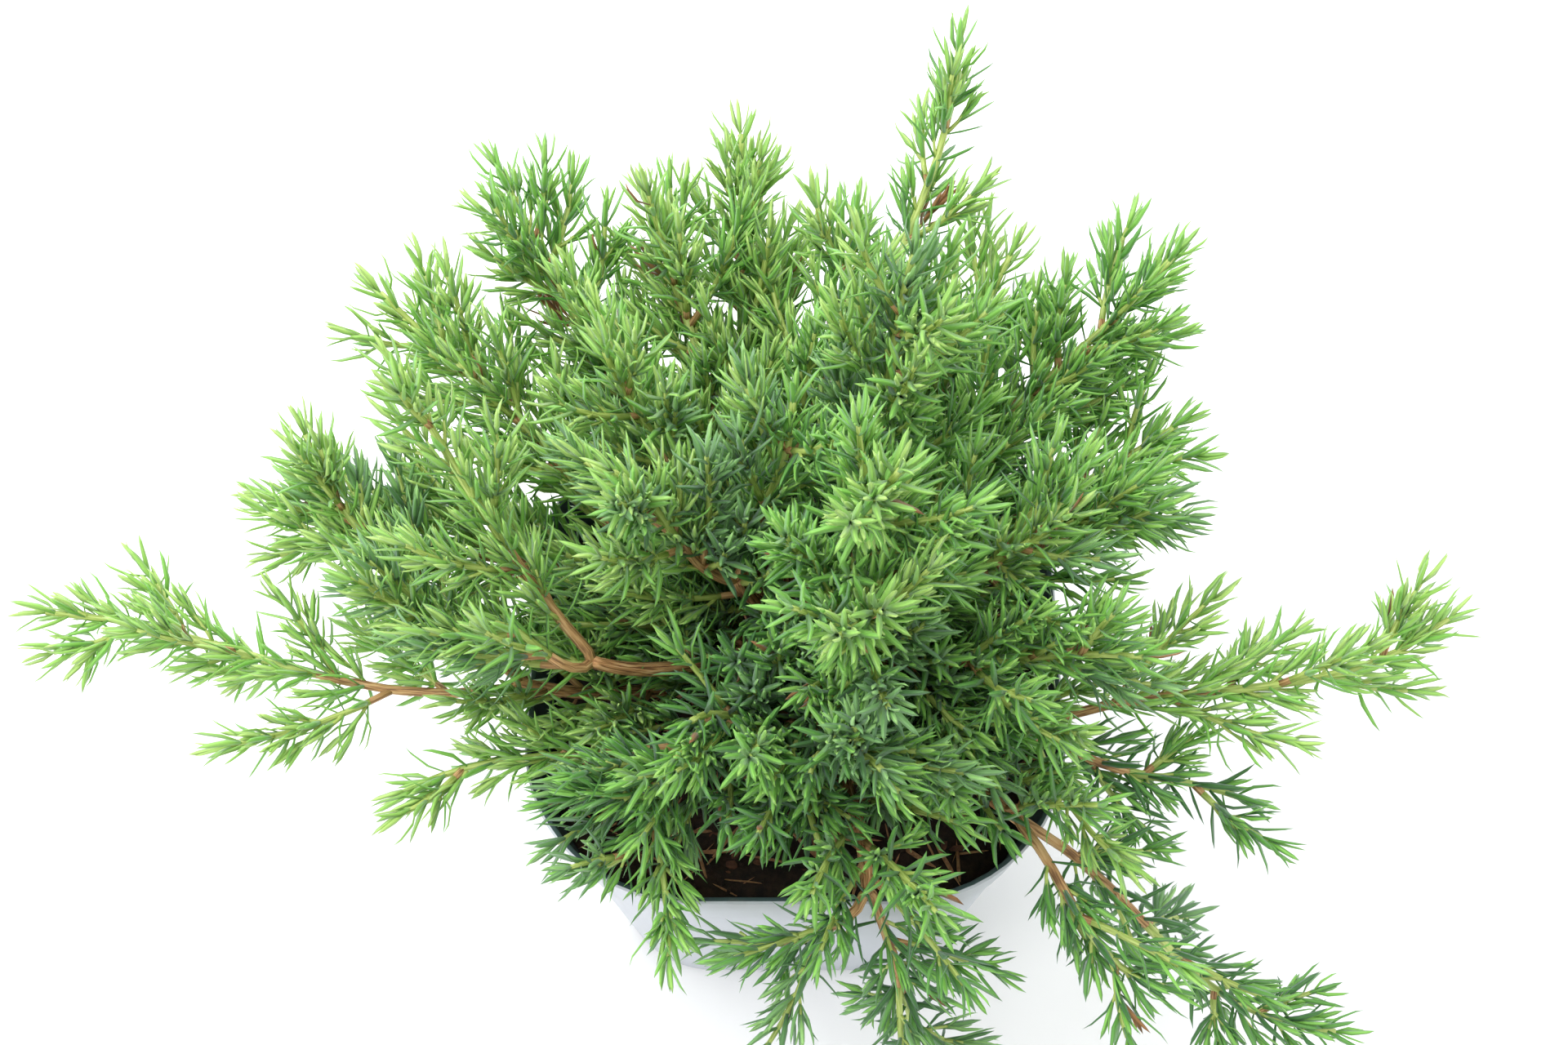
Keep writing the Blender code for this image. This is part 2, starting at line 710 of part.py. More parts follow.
def fuse(mass, collection):
    """One Boolean union of the stem with its twigs, applied; the pieces are then removed."""
    if collection.objects:
        union = mass.modifiers.new("fuse", "BOOLEAN")
        union.operation = "UNION"
        union.operand_type = "COLLECTION"
        union.solver = "MANIFOLD"
        union.collection = collection
        bpy.context.view_layer.update()
        graph = bpy.context.evaluated_depsgraph_get()
        fused = bpy.data.meshes.new_from_object(mass.evaluated_get(graph), depsgraph=graph)
        mass.modifiers.remove(union)
        keep_outer_shell(fused)
        mass.data = fused
    for piece in list(collection.objects):
        bpy.data.objects.remove(piece, do_unlink=True)
    bpy.data.collections.remove(collection)


def main():
    clear_scene()
    materials = {name: make_material(name) for name in COLOURS}
    build_pot(materials["pot"])
    build_soil(materials["soil"])
    bark = surface_of(build_trunk(materials["bark"]))
    routes = bough_routes(bark)
    build_boughs(routes, materials["bark"])
    stems = stem_routes(routes, bark)
    limbs = limb_edges(routes)
    for seed, (name, stem) in enumerate(stems.items()):
        space = Space(name, stems, limbs)
        build_mass(name, stem, space, FIRST_SEED + seed, materials["foliage"])


main()
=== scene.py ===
# A low spreading juniper in a rounded-square nursery pot. The pieces are made in the order in
# which the plant is put together: pot, soil, trunk and boughs, twigs, needles.
import math
import random

import bmesh
import bpy
import numpy as np
from mathutils import Euler, Matrix, Vector
from mathutils.bvhtree import BVHTree


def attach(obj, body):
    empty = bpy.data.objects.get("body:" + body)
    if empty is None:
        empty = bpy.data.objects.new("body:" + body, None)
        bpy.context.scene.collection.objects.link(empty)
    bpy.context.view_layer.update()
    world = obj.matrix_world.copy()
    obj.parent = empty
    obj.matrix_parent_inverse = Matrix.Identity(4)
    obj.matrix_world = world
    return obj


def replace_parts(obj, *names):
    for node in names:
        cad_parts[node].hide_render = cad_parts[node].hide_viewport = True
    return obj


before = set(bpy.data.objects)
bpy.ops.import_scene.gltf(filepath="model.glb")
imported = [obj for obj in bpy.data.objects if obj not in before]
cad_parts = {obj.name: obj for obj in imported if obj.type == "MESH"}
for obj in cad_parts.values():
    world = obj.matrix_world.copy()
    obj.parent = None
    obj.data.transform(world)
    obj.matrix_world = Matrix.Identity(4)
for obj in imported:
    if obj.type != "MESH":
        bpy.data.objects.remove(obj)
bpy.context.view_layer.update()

# Studio: a pale seamless floor under soft light from all round. The camera looks down on the
# plant from the front, as from over a potting bench.
CAMERA_PLACE, CAMERA_TILT, LENS, SENSOR = (-0.0035, -0.28947, 0.74611), 29.0, 48.0, 36.0
SKY_STRENGTH, FLOOR_REACH, FLOOR_DROP = 0.85, 6.0, 0.0005

# Each softbox: its place, its size and its power in watts.
SOFTBOXES = {
    "softbox_above": ((-0.35, 0.25, 1.5), 1.1, 17.0),
    "softbox_left": ((-1.3, -0.5, 0.9), 0.9, 9.0),
    "softbox_right": ((1.3, -0.2, 0.8), 0.9, 6.0),
    "softbox_back": ((-0.4, 1.2, 0.8), 1.0, 9.5),
}

scene = bpy.context.scene
camera = bpy.data.objects.new("camera", bpy.data.cameras.new("camera"))
scene.collection.objects.link(camera)
camera.location = CAMERA_PLACE
camera.rotation_euler = Euler((math.radians(CAMERA_TILT), 0.0, 0.0))
camera.data.lens = LENS
camera.data.sensor_width = SENSOR
scene.camera = camera
scene.view_settings.view_transform = "Standard"

world = bpy.data.worlds.new("soft_sky")
world.use_nodes = True
world.node_tree.nodes["Background"].inputs["Color"].default_value = (1.0, 1.0, 1.0, 1.0)
world.node_tree.nodes["Background"].inputs["Strength"].default_value = SKY_STRENGTH
scene.world = world

for name, (place, size, power) in SOFTBOXES.items():
    lamp = bpy.data.lights.new(name, "AREA")
    lamp.size = size
    lamp.energy = power
    light = bpy.data.objects.new(name, lamp)
    light.location = place
    light.rotation_euler = (-Vector(place)).to_track_quat("-Z", "Y").to_euler()
    scene.collection.objects.link(light)


def new_piece(name, bm, *materials):
    """An object in the scene from a finished bmesh."""
    mesh = bpy.data.meshes.new(name)
    bm.to_mesh(mesh)
    bm.free()
    for material in materials:
        mesh.materials.append(material)
    piece = bpy.data.objects.new(name, mesh)
    scene.collection.objects.link(piece)
    return piece


def new_material(name, colour, roughness):
    """A material with its Principled shader; colour and roughness are its plain values."""
    material = bpy.data.materials.new(name)
    material.use_nodes = True
    shader = material.node_tree.nodes["Principled BSDF"]
    shader.inputs["Base Color"].default_value = (*colour, 1.0)
    shader.inputs["Roughness"].default_value = roughness
    return material, material.node_tree, shader


floor_paint, _, _ = new_material("floor_paint", (0.93, 0.93, 0.94), 0.9)
bm = bmesh.new()
bmesh.ops.create_grid(bm, x_segments=1, y_segments=1, size=FLOOR_REACH)
floor = new_piece("floor", bm, floor_paint)
floor.location.z = -FLOOR_DROP


# Pot: one thin moulding of pale grey plastic, a rounded square that widens upwards into a deeper
# collar. Its inside is dark slate, partly the plastic's own colour and partly painted shade, and
# shows as a thin line round the lip. Eight drain holes.
POT_HALF, POT_CORNER, POT_HEIGHT = 0.085, 0.054, 0.140
FOOT_HALF, FOOT_CORNER = 0.063, 0.034
COLLAR_DEPTH, COLLAR_STEP, COLLAR_INSET, COLLAR_EDGES = 0.026, 0.0016, 0.0003, 0.0025
WALL, POT_FLOOR = 0.0014, 0.0022
CORNER_STEPS, WALL_RINGS, COLLAR_RINGS, SHARP_ANGLE = 14, 6, 4, 34.0

# Rounded edges, ring by ring. The foot has heights and insets, the collar's lower edge steps out
# and up, and the lip, outside and inside, has insets and depths below the top.
FOOT_EDGE = ((0.0, 0.0030), (0.0005, 0.0017), (0.0014, 0.0007), (0.0030, 0.0))
COLLAR_EDGE = ((0.0006, 0.0), (0.0013, 0.0003), (0.0016, 0.0010))
LIP_OUTSIDE = ((0.0003, 0.0006), (0.0006, 0.0002), (0.0010, 0.0))
LIP_INSIDE = ((0.0018, 0.0001), (0.0024, 0.0005), (0.0027, 0.0014), (0.0030, 0.004))

# Drain holes in two rings of four: how far out each ring is and where it starts.
DRAIN_RINGS, DRAIN_RADIUS, DRAIN_SIDES = ((0.044, 45.0), (0.040, 0.0)), 0.005, 20
DRILL_LENGTH, DRILL_HEIGHT = 0.02, 0.001


def rounded_square(half, corner, z):
    """A closed ring of points round a square with round corners."""
    middle = (half - corner) * math.sqrt(2.0)
    ring = []
    for quarter in range(4):
        out = math.radians(90.0 * quarter + 45.0)
        for step in range(CORNER_STEPS + 1):
            turn = math.radians(90.0 * (quarter + step / CORNER_STEPS))
            x = middle * math.cos(out) + corner * math.cos(turn)
            y = middle * math.sin(out) + corner * math.sin(turn)
            ring.append(Vector((x, y, z)))
    return ring


def body_size(z):
    """Half width and corner radius of the pot's outside at height z, below the collar."""
    share = z / POT_HEIGHT
    half = FOOT_HALF + (POT_HALF - COLLAR_STEP - FOOT_HALF) * share
    return half, FOOT_CORNER + (POT_CORNER - FOOT_CORNER) * share


def body_ring(z, out=0.0, up=0.0):
    """A ring that stands out from the body's outside at height z, lifted a little."""
    half, corner = body_size(z)
    return rounded_square(half + out, corner + out, z + up)


def lip_ring(inset, down):
    """A ring within the pot's full width, this far below its top."""
    return rounded_square(POT_HALF - inset, POT_CORNER - inset, POT_HEIGHT - down)


def loft(bm, rings, close_first=False, close_last=False):
    """A skin over closed rings of like number, with or without end faces."""
    rows = [[bm.verts.new(point) for point in ring] for ring in rings]
    for low, high in zip(rows, rows[1:]):
        for i in range(len(low)):
            j = (i + 1) % len(low)
            bm.faces.new((low[i], low[j], high[j], high[i]))
    if close_first:
        bm.faces.new(list(reversed(rows[0])))
    if close_last:
        bm.faces.new(rows[-1])


def new_group(name, inputs, outputs):
    """A shader node group with these sockets, its input node and its output node."""
    group = bpy.data.node_groups.new(name, "ShaderNodeTree")
    for way, sockets in (("INPUT", inputs), ("OUTPUT", outputs)):
        for socket, kind in sockets.items():
            group.interface.new_socket(socket, in_out=way, socket_type="NodeSocket" + kind)
    return group, group.nodes.new("NodeGroupInput"), group.nodes.new("NodeGroupOutput")


def add_node(tree, kind, values=(), **settings):
    """A shader node with these input values and settings."""
    node = tree.nodes.new("ShaderNode" + kind)
    for setting, value in settings.items():
        setattr(node, setting, value)
    for socket, value in dict(values).items():
        node.inputs[socket].default_value = value
    return node


def add_ramp(tree, dark, light):
    """A ramp from black at one position to white at another."""
    ramp = add_node(tree, "ValToRGB")
    ramp.color_ramp.elements[0].position = dark
    ramp.color_ramp.elements[1].position = light
    return ramp


def wire(tree, *rows):
    """Links, each from a node's output to another node's input."""
    for start, output, end, socket in rows:
        tree.links.new(start.outputs[output], end.inputs[socket])


def finished_material(name, colour, roughness, group, values):
    """A material with a node group's finish, placed with these values and linked up."""
    material, tree, shader = new_material(name, colour, roughness)
    placed = {k: (*v, 1.0) if isinstance(v, tuple) else v for k, v in values.items()}
    finish = add_node(tree, "Group", placed, node_tree=group)
    for output, socket in (("Colour", "Base Color"), ("Roughness", "Roughness"), ("Normal", "Normal")):
        if output in finish.outputs:
            wire(tree, (finish, output, shader, socket))
    return material


def moulded_plastic():
    """Node group: the faint mottling, fine pitting and scuffs of moulded plastic."""
    inputs = {"Colour": "Color", "Scuff colour": "Color", "Scuffs": "Float", "Gloss": "Float"}
    outputs = {"Colour": "Color", "Roughness": "Float", "Normal": "Vector"}
    group, given, result = new_group("moulded_plastic", inputs, outputs)
    place = add_node(group, "TexCoord")
    mottle = add_node(group, "TexNoise", {"Scale": 42.0, "Detail": 5.0})
    pits = add_node(group, "TexNoise", {"Scale": 900.0})
    stretch = add_node(group, "Mapping", {"Scale": (60.0, 60.0, 9.0)})
    scuff = add_node(group, "TexNoise", {"Scale": 1.0, "Detail": 8.0})
    ramp = add_ramp(group, 0.60, 0.74)
    amount = add_node(group, "Math", operation="MULTIPLY")
    tint = add_node(group, "Mix", data_type="RGBA")
    shade = add_node(group, "HueSaturation")
    value = add_node(group, "MapRange", {"To Min": 0.93, "To Max": 1.05})
    rough = add_node(group, "Math", {1: 0.22}, operation="MULTIPLY_ADD")
    bump = add_node(group, "Bump", {"Strength": 0.10, "Distance": 0.0004})
    wire(
        group,
        (place, "Object", mottle, "Vector"),
        (place, "Object", pits, "Vector"),
        (place, "Object", stretch, "Vector"),
        (stretch, 0, scuff, "Vector"),
        (scuff, "Fac", ramp, "Fac"),
        (ramp, "Color", amount, 0),
        (given, "Scuffs", amount, 1),
        (mottle, "Fac", value, "Value"),
        (value, "Result", shade, "Value"),
        (given, "Colour", shade, "Color"),
        (amount, 0, tint, "Factor"),
        (shade, "Color", tint, "A"),
        (given, "Scuff colour", tint, "B"),
        (mottle, "Fac", rough, 0),
        (given, "Gloss", rough, 2),
        (pits, "Fac", bump, "Height"),
        (tint, "Result", result, "Colour"),
        (rough, 0, result, "Roughness"),
        (bump, "Normal", result, "Normal"),
    )
    return group


plastic_finish = moulded_plastic()


def plastic(name, colour, scuff_colour, scuffs, gloss):
    values = {"Colour": colour, "Scuff colour": scuff_colour, "Scuffs": scuffs, "Gloss": gloss}
    return finished_material(name, colour, gloss, plastic_finish, values)


grey_plastic = plastic("grey_plastic", (0.47, 0.50, 0.545), (0.30, 0.29, 0.28), 0.35, 0.30)
# The lining's dark slate is partly the plastic's own colour and partly painted shade.
slate_and_shade_plastic = plastic("slate_and_shade_plastic", (0.050, 0.085, 0.090), (0.16, 0.14, 0.12), 0.6, 0.38)

collar_low = POT_HEIGHT - COLLAR_DEPTH
foot_top, collar_first = FOOT_EDGE[-1][0], collar_low + COLLAR_EDGE[-1][1]
outside = [body_ring(z, -inset) for z, inset in FOOT_EDGE]
for step in range(1, WALL_RINGS + 1):
    outside.append(body_ring(foot_top + (collar_low - foot_top) * step / WALL_RINGS))
outside += [body_ring(collar_low, out, up) for out, up in COLLAR_EDGE]
for step in range(1, COLLAR_RINGS + 1):
    z = collar_first + (COLLAR_DEPTH - COLLAR_EDGES) * step / COLLAR_RINGS
    outside.append(body_ring(z, COLLAR_STEP - COLLAR_INSET))
outside += [lip_ring(*edge) for edge in LIP_OUTSIDE]
bm = bmesh.new()
loft(bm, outside, close_first=True)
bmesh.ops.recalc_face_normals(bm, faces=bm.faces)
shell = new_piece("pot_shell", bm, grey_plastic)

inside = [outside[-1]] + [lip_ring(*edge) for edge in LIP_INSIDE]
lip_low = POT_HEIGHT - LIP_INSIDE[-1][1]
for step in range(1, WALL_RINGS + 1):
    inside.append(body_ring(lip_low - (lip_low - POT_FLOOR) * step / WALL_RINGS, -WALL))
bm = bmesh.new()
loft(bm, inside, close_last=True)
bmesh.ops.recalc_face_normals(bm, faces=bm.faces)
bmesh.ops.reverse_faces(bm, faces=bm.faces)
lining = new_piece("pot_lining", bm, slate_and_shade_plastic)

bm = bmesh.new()
for reach, first in DRAIN_RINGS:
    for quarter in range(4):
        turn = math.radians(first + 90.0 * quarter)
        place = Matrix.Translation((reach * math.cos(turn), reach * math.sin(turn), DRILL_HEIGHT))
        drill = {"radius1": DRAIN_RADIUS, "radius2": DRAIN_RADIUS, "depth": DRILL_LENGTH}
        bmesh.ops.create_cone(bm, cap_ends=True, segments=DRAIN_SIDES, matrix=place, **drill)
holes = new_piece("drain_holes", bm)
for piece in (shell, lining):
    cut = piece.modifiers.new("drains", "BOOLEAN")
    cut.object = holes
    cut.solver = "EXACT"
    bpy.context.view_layer.update()
    graph = bpy.context.evaluated_depsgraph_get()
    holed = bpy.data.meshes.new_from_object(piece.evaluated_get(graph), depsgraph=graph)
    piece.modifiers.remove(cut)
    piece.data = holed
    holed.shade_smooth()
    holed.set_sharp_from_angle(angle=math.radians(SHARP_ANGLE))
    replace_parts(piece, "pot")
    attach(piece, "root")
bpy.data.objects.remove(holes, do_unlink=True)


# Soil: dark moist compost that fills the pot to 20 mm below its rim, and is flat round the trunk.
# On it lie crumbs, reddish chips of composted bark and dry fibres.
SOIL_TOP, SOIL_LUMP, FINE_LUMP = 0.120, 0.0022, 0.6
SOIL_FLAT, FLAT_EDGE = 0.022, 0.02
SOIL_RINGS, SOIL_GRAIN, SMOOTH_SHARE = 26, 0.0007, 0.2
SOIL_GAP, EDGE_DROP, SOIL_FOOT, SOIL_FOOT_INSET = 0.0005, 0.003, 0.02, 0.003
LITTER_EDGE, LITTER_TILT, OUT_OF_TRUE, SOIL_SEED = 0.004, 0.5, (0.75, 1.2), 7
SOIL_CREST = SOIL_TOP + SOIL_LUMP * (1.0 + FINE_LUMP)


def soil_height(x, y):
    """Broad lumps with fine ones on them, flat round the trunk."""
    reach = math.hypot(x, y)
    rise = min(1.0, max(0.0, (reach - SOIL_FLAT) / FLAT_EDGE))
    broad = math.sin(x * 140.0 + 1.0) * math.cos(y * 120.0)
    lumps = broad + FINE_LUMP * math.sin((x + y) * 230.0)
    return SOIL_TOP + rise * SOIL_LUMP * lumps


def compost_mottling():
    """Node group: crumbly dark patches, with relief to match."""
    inputs = {"Dark": "Color", "Light": "Color", "Grain": "Float"}
    outputs = {"Colour": "Color", "Normal": "Vector"}
    group, given, result = new_group("compost_mottling", inputs, outputs)
    place = add_node(group, "TexCoord")
    noise = add_node(group, "TexNoise", {"Detail": 9.0, "Roughness": 0.7})
    ramp = add_ramp(group, 0.38, 0.68)
    tint = add_node(group, "Mix", data_type="RGBA")
    bump = add_node(group, "Bump", {"Strength": 0.8, "Distance": 0.0012})
    wire(
        group,
        (place, "Object", noise, "Vector"),
        (given, "Grain", noise, "Scale"),
        (noise, "Fac", ramp, "Fac"),
        (ramp, "Color", tint, "Factor"),
        (given, "Dark", tint, "A"),
        (given, "Light", tint, "B"),
        (noise, "Fac", bump, "Height"),
        (tint, "Result", result, "Colour"),
        (bump, "Normal", result, "Normal"),
    )
    return group


compost_finish = compost_mottling()


def compost(name, dark, light, grain, roughness):
    values = {"Dark": dark, "Light": light, "Grain": grain}
    return finished_material(name, dark, roughness, compost_finish, values)


peat = compost("peat", (0.006, 0.004, 0.003), (0.050, 0.026, 0.014), 160.0, 0.95)
chip_wood = compost("chip_wood", (0.050, 0.018, 0.009), (0.21, 0.085, 0.040), 300.0, 0.85)
dry_fibre = compost("dry_fibre", (0.26, 0.12, 0.050), (0.55, 0.31, 0.15), 400.0, 0.8)

chance = random.Random(SOIL_SEED)
bm = bmesh.new()
half, corner = body_size(SOIL_TOP)
half, corner = half - WALL - SOIL_GAP, corner - WALL - SOIL_GAP
rings = [body_ring(SOIL_FOOT, -SOIL_FOOT_INSET)]
for step in range(SOIL_RINGS):
    share = 1.0 - step / SOIL_RINGS
    ring = rounded_square(half * share, corner * share, 0.0)
    rough = SOIL_GRAIN if step and share > SMOOTH_SHARE else 0.0
    drop = 0.0 if step else EDGE_DROP
    for point in ring:
        point.z = soil_height(point.x, point.y) - drop + chance.uniform(-rough, rough)
    rings.append(ring)
loft(bm, rings, close_last=True)
bmesh.ops.recalc_face_normals(bm, faces=bm.faces)
soil = new_piece("soil_bed", bm, peat)
soil.data.shade_smooth()
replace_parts(soil, "soil")
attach(soil, "root")


def soil_spot():
    """A random place on the soil inside the pot's wall."""
    while True:
        x, y = chance.uniform(-half, half), chance.uniform(-half, half)
        over = [max(abs(v) - (half - corner), 0.0) for v in (x, y)]
        if math.hypot(*over) < corner - LITTER_EDGE:
            return Vector((x, y, soil_height(x, y)))


def litter(name, count, sizes, flat, rise, material):
    """Small lumps or flakes, each a ball flattened and pulled out of true, strewn on the soil."""
    bm = bmesh.new()
    for _ in range(count):
        spot = soil_spot()
        long = chance.uniform(*sizes)
        scale = Vector((long, long * chance.uniform(*flat[0]), long * chance.uniform(*flat[1])))
        made = bmesh.ops.create_icosphere(bm, subdivisions=1, radius=0.5)["verts"]
        tilts = [chance.uniform(-LITTER_TILT, LITTER_TILT) for _ in range(2)]
        turn = Euler((*tilts, chance.uniform(0, 6.3))).to_matrix()
        for vert in made:
            shape = Vector(vert.co[i] * scale[i] * chance.uniform(*OUT_OF_TRUE) for i in range(3))
            vert.co = turn @ shape + spot + Vector((0, 0, rise * scale.z))
    piece = new_piece(name, bm, material)
    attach(piece, "root")


litter("soil_crumbs", 1100, (0.0012, 0.0042), ((0.7, 1.0), (0.5, 0.8)), 0.2, peat)
litter("bark_chips", 170, (0.0025, 0.0085), ((0.30, 0.7), (0.10, 0.22)), 0.9, chip_wood)
litter("soil_fibres", 330, (0.006, 0.024), ((0.04, 0.08), (0.03, 0.06)), 2.0, dry_fibre)


# Trunk and boughs: a short leaning trunk that flares at the soil, and boughs that leave it all
# round, arch out over the rim and carry the foliage. Orange-brown bark that splits into strips.
GAP = 0.0003
TRUNK_LEAN = Vector((-0.06, 0.10, 1.0))
TRUNK_RINGS = ((0.0, 0.0098), (0.003, 0.0080), (0.009, 0.0066), (0.022, 0.0058), (0.040, 0.0046))
TRUNK_STEPS, TRUNK_SIDES, TRUNK_RELIEF, TRUNK_TWIST = 40, 36, 0.05, 6.0
BOUGH_RADII, BOUGH_STEPS, BOUGH_SIDES, BOUGH_RELIEF = (0.0026, 0.0019), 24, 14, 0.055
ROOT_FLARE, SEAT_RAYS, SEAT_FLARES = TRUNK_RINGS[0][1], 24, 3.0

# Each bough: where it leaves the trunk (height, azimuth, slope) and its end (azimuth, reach, height).
BOUGHS = {
    "bough_left": (0.007, 200, 14, (192, 0.088, 0.154)),
    "bough_front_left": (0.012, 236, 24, (230, 0.054, 0.157)),
    "bough_front": (0.007, 285, 16, (284, 0.088, 0.153)),
    "bough_front_right": (0.007, 325, 14, (317, 0.092, 0.152)),
    "bough_right_low": (0.012, 352, 18, (336, 0.084, 0.157)),
    "bough_left_back": (0.012, 160, 22, (160, 0.054, 0.160)),
    "bough_back_left": (0.014, 118, 26, (121, 0.050, 0.168)),
    "bough_back_right": (0.012, 65, 26, (66, 0.052, 0.166)),
    "bough_right_back": (0.013, 28, 26, (33, 0.054, 0.164)),
    "bough_left_arch": (0.021, 213, 34, (203, 0.066, 0.186)),
    "bough_front_mid": (0.021, 258, 36, (262, 0.034, 0.166)),
    "bough_right": (0.023, 5, 38, (3, 0.042, 0.178)),
    "bough_back": (0.024, 92, 40, (98, 0.040, 0.178)),
    "bough_back_left_high": (0.026, 140, 44, (138, 0.034, 0.182)),
    "bough_front_right_high": (0.028, 305, 46, (312, 0.030, 0.180)),
    "bough_back_right_high": (0.030, 48, 52, (52, 0.030, 0.190)),
    "bough_centre_left": (0.033, 190, 58, (178, 0.018, 0.188)),
    "bough_centre": (0.036, 330, 66, (330, 0.012, 0.192)),
}

# Each foliage mass: its bough, its furthest tip (azimuth, reach, height) and that tip's heading
# (azimuth, slope).
MASSES = {
    "spray_left_long": ("bough_left", (178, 0.250, 0.150), (180, 6)),
    "spray_left_rising": ("bough_left", (162, 0.160, 0.210), (112, 52)),
    "spray_left_front": ("bough_front_left", (203, 0.140, 0.144), (203, -12)),
    "spray_front_left": ("bough_front_left", (227, 0.108, 0.158), (175, 4)),
    "spray_front_hanging": ("bough_front", (290, 0.136, 0.044), (290, -50)),
    "spray_front_low": ("bough_front", (268, 0.112, 0.122), (268, -18)),
    "spray_right_hanging": ("bough_front_right", (331, 0.215, 0.066), (355, 0)),
    "spray_front_right": ("bough_front_right", (318, 0.164, 0.132), (350, 5)),
    "spray_right_long": ("bough_right_low", (2, 0.213, 0.162), (36, 14)),
    "spray_right_low": ("bough_right_low", (342, 0.160, 0.124), (342, -14)),
    "spray_left_back": ("bough_left_back", (145, 0.168, 0.214), (145, 32)),
    "spray_left_back_low": ("bough_left_back", (166, 0.184, 0.166), (166, 8)),
    "spray_back_left": ("bough_back_left", (126, 0.168, 0.228), (126, 38)),
    "spray_back_left_mid": ("bough_back_left", (112, 0.132, 0.232), (112, 48)),
    "spray_back_right_long": ("bough_back_right", (73, 0.178, 0.250), (90, 55)),
    "spray_back_right_low": ("bough_back_right", (58, 0.140, 0.208), (58, 35)),
    "spray_right_back": ("bough_right_back", (39, 0.158, 0.230), (39, 42)),
    "spray_right_back_low": ("bough_right_back", (24, 0.140, 0.196), (24, 28)),
    "spray_left_arch": ("bough_left_arch", (164, 0.120, 0.270), (135, 60)),
    "spray_left_arch_low": ("bough_left_arch", (196, 0.098, 0.216), (196, 40)),
    "spray_front_tuft": ("bough_front_mid", (288, 0.084, 0.224), (292, 45)),
    "spray_front_mid": ("bough_front_mid", (240, 0.068, 0.208), (240, 40)),
    "spray_right": ("bough_right", (14, 0.118, 0.214), (14, 45)),
    "spray_right_high": ("bough_right", (355, 0.080, 0.252), (355, 68)),
    "spray_back": ("bough_back", (97, 0.150, 0.232), (97, 45)),
    "spray_back_mid": ("bough_back", (80, 0.112, 0.240), (80, 58)),
    "spray_back_left_high": ("bough_back_left_high", (140, 0.076, 0.252), (140, 70)),
    "spray_front_right_high": ("bough_front_right_high", (338, 0.114, 0.222), (338, 28)),
    "spray_front_high": ("bough_front_right_high", (296, 0.056, 0.268), (296, 60)),
    "spray_back_right_high": ("bough_back_right_high", (59, 0.066, 0.290), (59, 70)),
    "spray_centre_left": ("bough_centre_left", (177, 0.058, 0.256), (177, 48)),
    "spray_centre_back": ("bough_centre_left", (92, 0.030, 0.258), (92, 68)),
    "spray_centre": ("bough_centre", (330, 0.034, 0.290), (330, 72)),
    "spray_inner_right": ("trunk", (323, 0.088, 0.184), (323, 10)),
    "spray_inner_back_right": ("trunk", (45, 0.074, 0.192), (45, 22)),
    "spray_inner_back_left": ("trunk", (116, 0.074, 0.196), (116, 25)),
    "spray_inner_left": ("trunk", (188, 0.078, 0.180), (188, 15)),
    "spray_inner_front_left": ("trunk", (221, 0.094, 0.182), (165, 14)),
    "spray_inner_front": ("trunk", (277, 0.088, 0.166), (288, 0)),
}


def polar(azimuth, reach, height):
    """A point at this azimuth in degrees, reach from the pot's axis and height."""
    turn = math.radians(azimuth)
    return Vector((reach * math.cos(turn), reach * math.sin(turn), height))


def slanted(azimuth, slope):
    """A unit direction from its azimuth and its upward slope in degrees."""
    turn, rise = math.radians(azimuth), math.radians(slope)
    return Vector((math.cos(turn) * math.cos(rise), math.sin(turn) * math.cos(rise), math.sin(rise)))


def bend(start, leave, end, arrive, steps, reach=0.36):
    """Points along one smooth curve that leaves start and arrives at end in given directions."""
    span = (end - start).length * reach
    a, b = start + leave * span, end - arrive * span
    points = []
    for i in range(steps + 1):
        t = i / steps
        s = 1.0 - t
        points.append(start * s**3 + a * (3 * s * s * t) + b * (3 * s * t * t) + end * t**3)
    return points


def trunk_axis(height):
    return Vector((0.0, 0.0, SOIL_TOP + GAP)) + TRUNK_LEAN * height


trunk_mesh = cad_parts["trunk"].data
bark_surface = BVHTree.FromPolygons(
    [v.co for v in trunk_mesh.vertices], [p.vertices for p in trunk_mesh.polygons]
)


def on_trunk(height, azimuth, slope, radius):
    """Where a limb of this radius begins: slid in until its base is just clear of the bark."""
    leave = slanted(azimuth, slope)
    away = trunk_axis(height) + leave * SEAT_FLARES * ROOT_FLARE
    side = leave.orthogonal().normalized() * radius
    turns = [math.radians(360.0 / SEAT_RAYS * k) for k in range(SEAT_RAYS)]
    rim = [away + Matrix.Rotation(turn, 3, leave) @ side for turn in turns]
    hits = [bark_surface.ray_cast(point, -leave)[3] for point in rim]
    return away - leave * (min(hit for hit in hits if hit) - GAP)


routes = {}
for name, (height, azimuth, slope, end) in BOUGHS.items():
    start = on_trunk(height, azimuth, slope, BOUGH_RADII[0])
    goal = polar(*end)
    tips = [polar(*tip) for bough, tip, _ in MASSES.values() if bough == name]
    onward = sum(((tip - goal).normalized() for tip in tips), Vector())
    arrive = (onward.normalized() + (goal - start).normalized()).normalized()
    routes[name] = bend(start, slanted(azimuth, slope), goal, arrive, BOUGH_STEPS)


